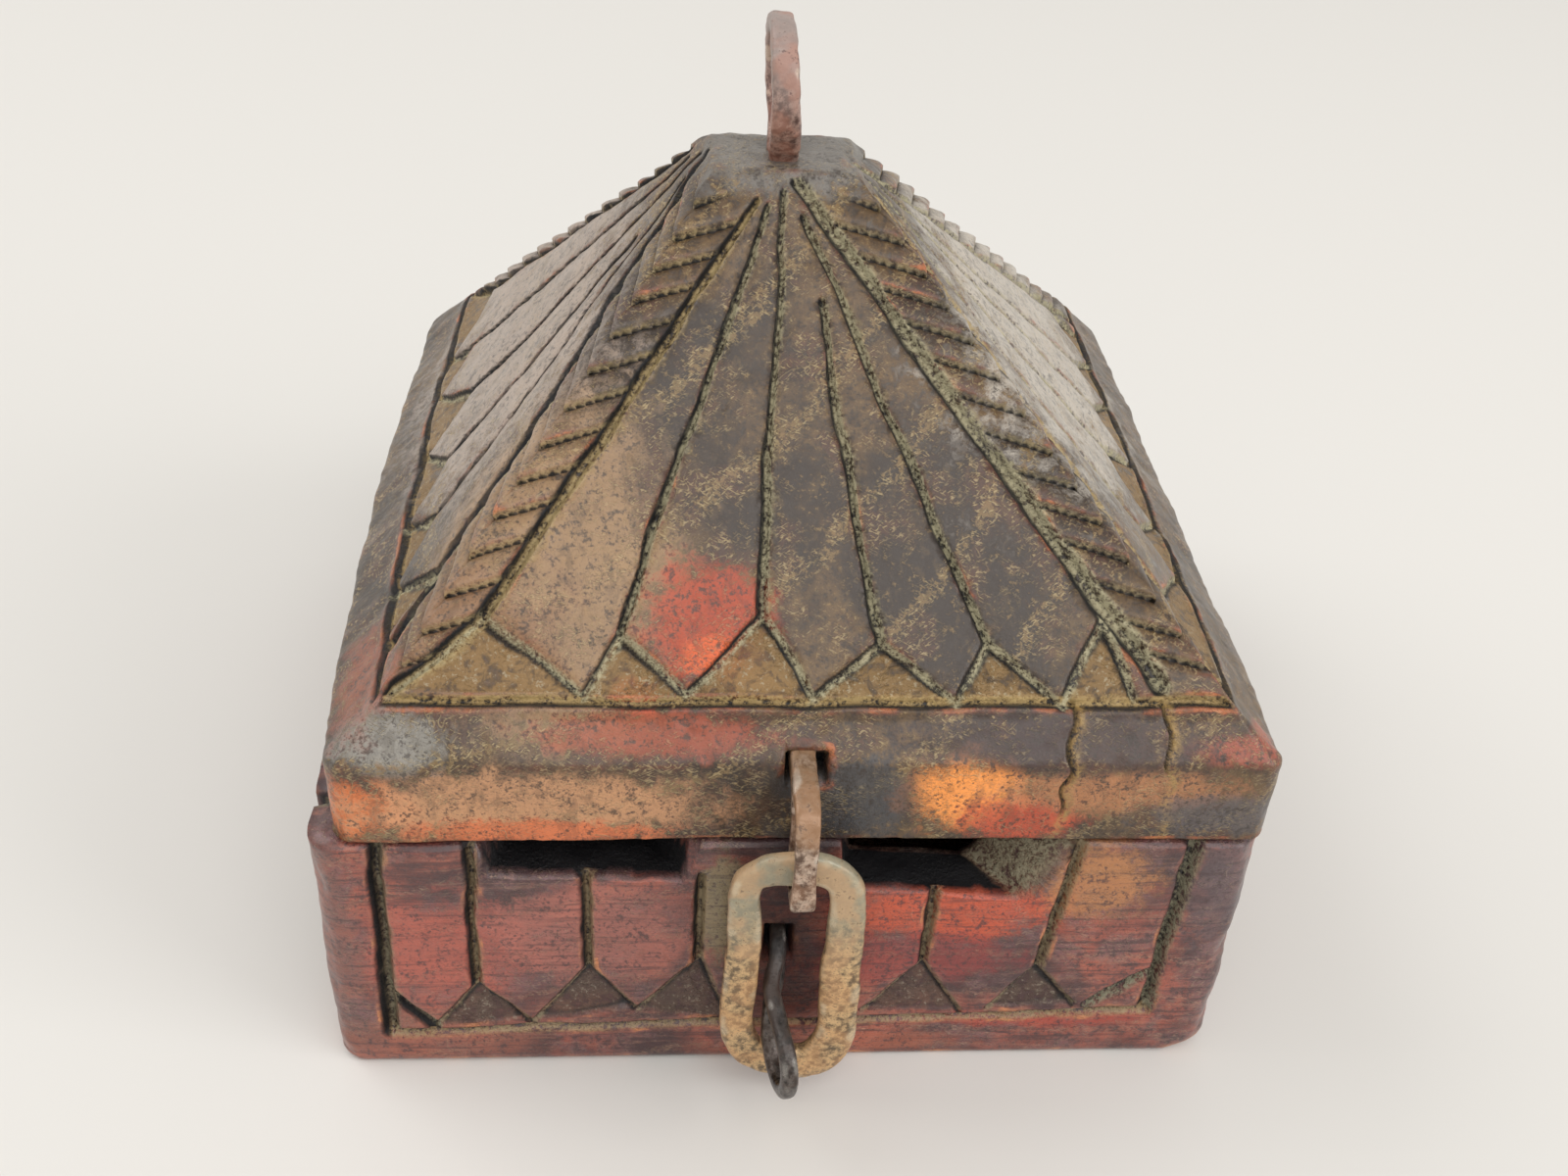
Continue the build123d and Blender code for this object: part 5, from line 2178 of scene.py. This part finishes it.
LID_WOOD = WoodFinish(
    name="lid_wood",
    dark=srgb(48, 36, 27),
    light=srgb(98, 75, 48),
    warm=srgb(84, 56, 44),
    fleck=srgb(146, 120, 80),
    hair=srgb(184, 162, 120),
    shade=srgb(15, 15, 18),
    dust=srgb(186, 178, 146),
    crust=srgb(170, 138, 80),
    pocket=srgb(134, 106, 66),
    speckle=srgb(190, 182, 160),
    worn=srgb(128, 66, 48),
    bright=srgb(210, 122, 66),
    grain_stretch=(1.0, 0.6, 0.5),
    grain_share=0.3,
    fleck_share=0.6,
    hair_share=0.45,
    wear_share=0.5,
    sheen=0.45,
    ring_centre=(-70.0, 0.0, 190.0),
    ring_gap=13.0,
    stains=(
        # The two pale patches on the left and right faces are painted sheen: the grazing reflection of the
        # bright room.
        Stain((-46.0, 15.0, 95.0), (28.0, 50.0, 34.0), srgb(188, 170, 156), 0.75),
        Stain((42.0, 15.0, 95.0), (28.0, 50.0, 34.0), srgb(210, 200, 186), 0.75),
        Stain((-36.0, -54.0, 86.0), (20.0, 30.0, 26.0), srgb(168, 134, 98), 0.7),
        Stain((-46.0, -62.0, 78.0), (14.0, 14.0, 10.0), srgb(132, 90, 62), 0.5),
        Stain((-13.0, -60.0, 79.5), (10.0, 14.0, 8.0), srgb(178, 66, 30), 0.85),
        Stain((-12.0, -62.0, 75.5), (5.0, 8.0, 3.0), srgb(222, 96, 36), 0.85),
        Stain((-23.0, -66.0, 71.5), (4.0, 6.0, 2.2), srgb(224, 90, 44), 0.9),
        Stain((-5.0, -66.0, 73.0), (6.0, 6.0, 3.0), srgb(180, 130, 70), 0.7),
        Stain((25.0, -72.0, 59.0), (10.0, 6.0, 7.0), srgb(255, 160, 78), 1.0),
        Stain((33.0, -72.0, 54.0), (9.0, 6.0, 5.0), srgb(196, 80, 48), 0.85),
        Stain((-63.0, -72.0, 56.0), (8.0, 6.0, 6.0), srgb(224, 118, 58), 0.8),
        Stain((-38.0, -72.0, 56.0), (30.0, 6.0, 7.0), srgb(206, 152, 110), 0.8),
        Stain((-37.0, -72.0, 51.5), (20.0, 6.0, 2.6), srgb(214, 108, 58), 0.8),
        Stain((-20.0, -69.0, 67.5), (18.0, 6.0, 3.2), srgb(164, 78, 50), 0.75),
        Stain((-58.0, -68.0, 67.0), (9.0, 6.0, 5.0), srgb(142, 138, 130), 0.85),
        Stain((8.0, -72.0, 58.0), (11.0, 6.0, 8.0), srgb(66, 68, 72), 0.8),
        Stain((46.0, -72.0, 59.0), (20.0, 6.0, 4.5), srgb(190, 128, 84), 0.75),
        Stain((62.0, -72.0, 54.0), (12.0, 8.0, 4.5), srgb(88, 84, 88), 0.7),
        Stain((66.0, -68.0, 65.5), (10.0, 6.0, 2.0), srgb(172, 84, 62), 0.7),
        Stain((40.0, -70.0, 67.0), (24.0, 6.0, 5.0), srgb(62, 44, 42), 0.85),
        Stain((-64.0, -56.0, 72.0), (7.0, 14.0, 9.0), srgb(164, 88, 64), 0.6),
        # Painted grey sheen on the flat top.
        Stain((0.0, 0.0, 128.0), (16.0, 14.0, 6.0), srgb(120, 116, 110), 0.8),
    ),
)

BODY_WOOD = WoodFinish(
    name="body_wood",
    dark=srgb(64, 38, 40),
    light=srgb(164, 86, 68),
    warm=srgb(118, 82, 84),
    fleck=srgb(180, 134, 110),
    hair=srgb(206, 174, 144),
    shade=srgb(17, 16, 19),
    dust=srgb(146, 142, 120),
    crust=srgb(172, 126, 66),
    pocket=srgb(84, 68, 58),
    speckle=srgb(170, 160, 142),
    worn=srgb(164, 100, 78),
    bright=srgb(218, 140, 84),
    grain_stretch=(0.12, 0.5, 2.0),
    grain_share=0.5,
    fleck_share=0.2,
    hair_share=0.15,
    wear_share=0.6,
    sheen=0.6,
    ring_centre=(30.0, 0.0, -260.0),
    ring_gap=9.0,
    stains=(
        Stain((-52.0, -72.0, 26.0), (14.0, 5.0, 13.0), srgb(178, 90, 74), 0.7),
        Stain((-30.0, -72.0, 30.0), (16.0, 5.0, 12.0), srgb(180, 108, 94), 0.65),
        Stain((26.0, -72.0, 35.0), (17.0, 5.0, 7.0), srgb(206, 86, 50), 0.85),
        Stain((20.0, -72.0, 24.0), (18.0, 5.0, 6.0), srgb(150, 56, 52), 0.65),
        Stain((47.0, -72.0, 41.0), (9.0, 5.0, 8.0), srgb(196, 132, 78), 0.7),
        Stain((-60.0, -72.0, 6.0), (22.0, 5.0, 7.0), srgb(146, 88, 70), 0.6),
        Stain((-69.0, -70.0, 30.0), (4.0, 8.0, 22.0), srgb(132, 88, 78), 0.6),
        Stain((10.0, -74.0, 3.0), (24.0, 5.0, 4.0), srgb(178, 98, 70), 0.6),
        Stain((40.0, -72.0, 9.0), (20.0, 5.0, 2.0), srgb(176, 68, 50), 0.7),
        Stain((67.0, -72.0, 40.0), (6.0, 8.0, 14.0), srgb(92, 80, 84), 0.6),
        Stain((-10.5, -72.0, 36.0), (3.5, 5.0, 12.0), srgb(140, 126, 94), 0.85),
    ),
)

RUSTY_IRON = IronFinish(
    name="rusty_iron",
    scale=srgb(96, 72, 66),
    metal=srgb(176, 146, 134),
    rust=srgb(170, 110, 86),
    patina=srgb(152, 138, 132),
    polish=srgb(214, 192, 172),
    patina_from=132.0,
    patina_to=146.0,
    rust_share=0.45,
    metallic=0.35,
    roughness=0.4,
)

WORN_IRON = IronFinish(
    name="worn_iron",
    scale=srgb(98, 78, 66),
    metal=srgb(196, 174, 156),
    rust=srgb(176, 124, 86),
    patina=srgb(140, 110, 82),
    polish=srgb(220, 208, 192),
    patina_from=56.0,
    patina_to=66.0,
    rust_share=0.25,
    metallic=0.55,
    roughness=0.3,
)

LINK_IRON = IronFinish(
    name="link_iron",
    scale=srgb(106, 90, 70),
    metal=srgb(210, 176, 130),
    rust=srgb(210, 156, 104),
    patina=srgb(150, 146, 126),
    polish=srgb(206, 192, 164),
    patina_from=28.0,
    patina_to=46.0,
    rust_share=0.4,
    metallic=0.4,
    roughness=0.34,
)

DARK_IRON = IronFinish(
    name="dark_iron",
    scale=srgb(42, 38, 36),
    metal=srgb(104, 98, 94),
    rust=srgb(88, 66, 54),
    patina=srgb(40, 38, 38),
    polish=srgb(158, 154, 148),
    patina_from=20.0,
    patina_to=27.0,
    rust_share=0.3,
    metallic=0.6,
    roughness=0.32,
)


def log_piece(piece: bpy.types.Object) -> None:
    """Logs a finished piece."""
    log.info("%s has %d faces", piece.name, len(piece.data.polygons))


def main() -> None:
    """Builds each part of the picture in order and logs it."""
    logging.basicConfig(level=logging.INFO, format="%(name)s: %(message)s")
    Studio().build()
    log.info("camera, floor and lights are set")
    lid = CarvedLid(wood=LID_WOOD.build())
    log_piece(lid.build())
    body = CarvedBody(wood=BODY_WOOD.build(), seam_wave=lid.seam_wave)
    log_piece(body.build())
    fittings = IronFittings(RUSTY_IRON.build(), WORN_IRON.build(), LINK_IRON.build(), DARK_IRON.build())
    for make in (fittings.loop, fittings.hasp_staple, fittings.hasp_link, fittings.lock_staple):
        log_piece(make())
    fittings.hinges()
    log.info("hinge staples are finished")


if __name__ == "__main__":
    main()
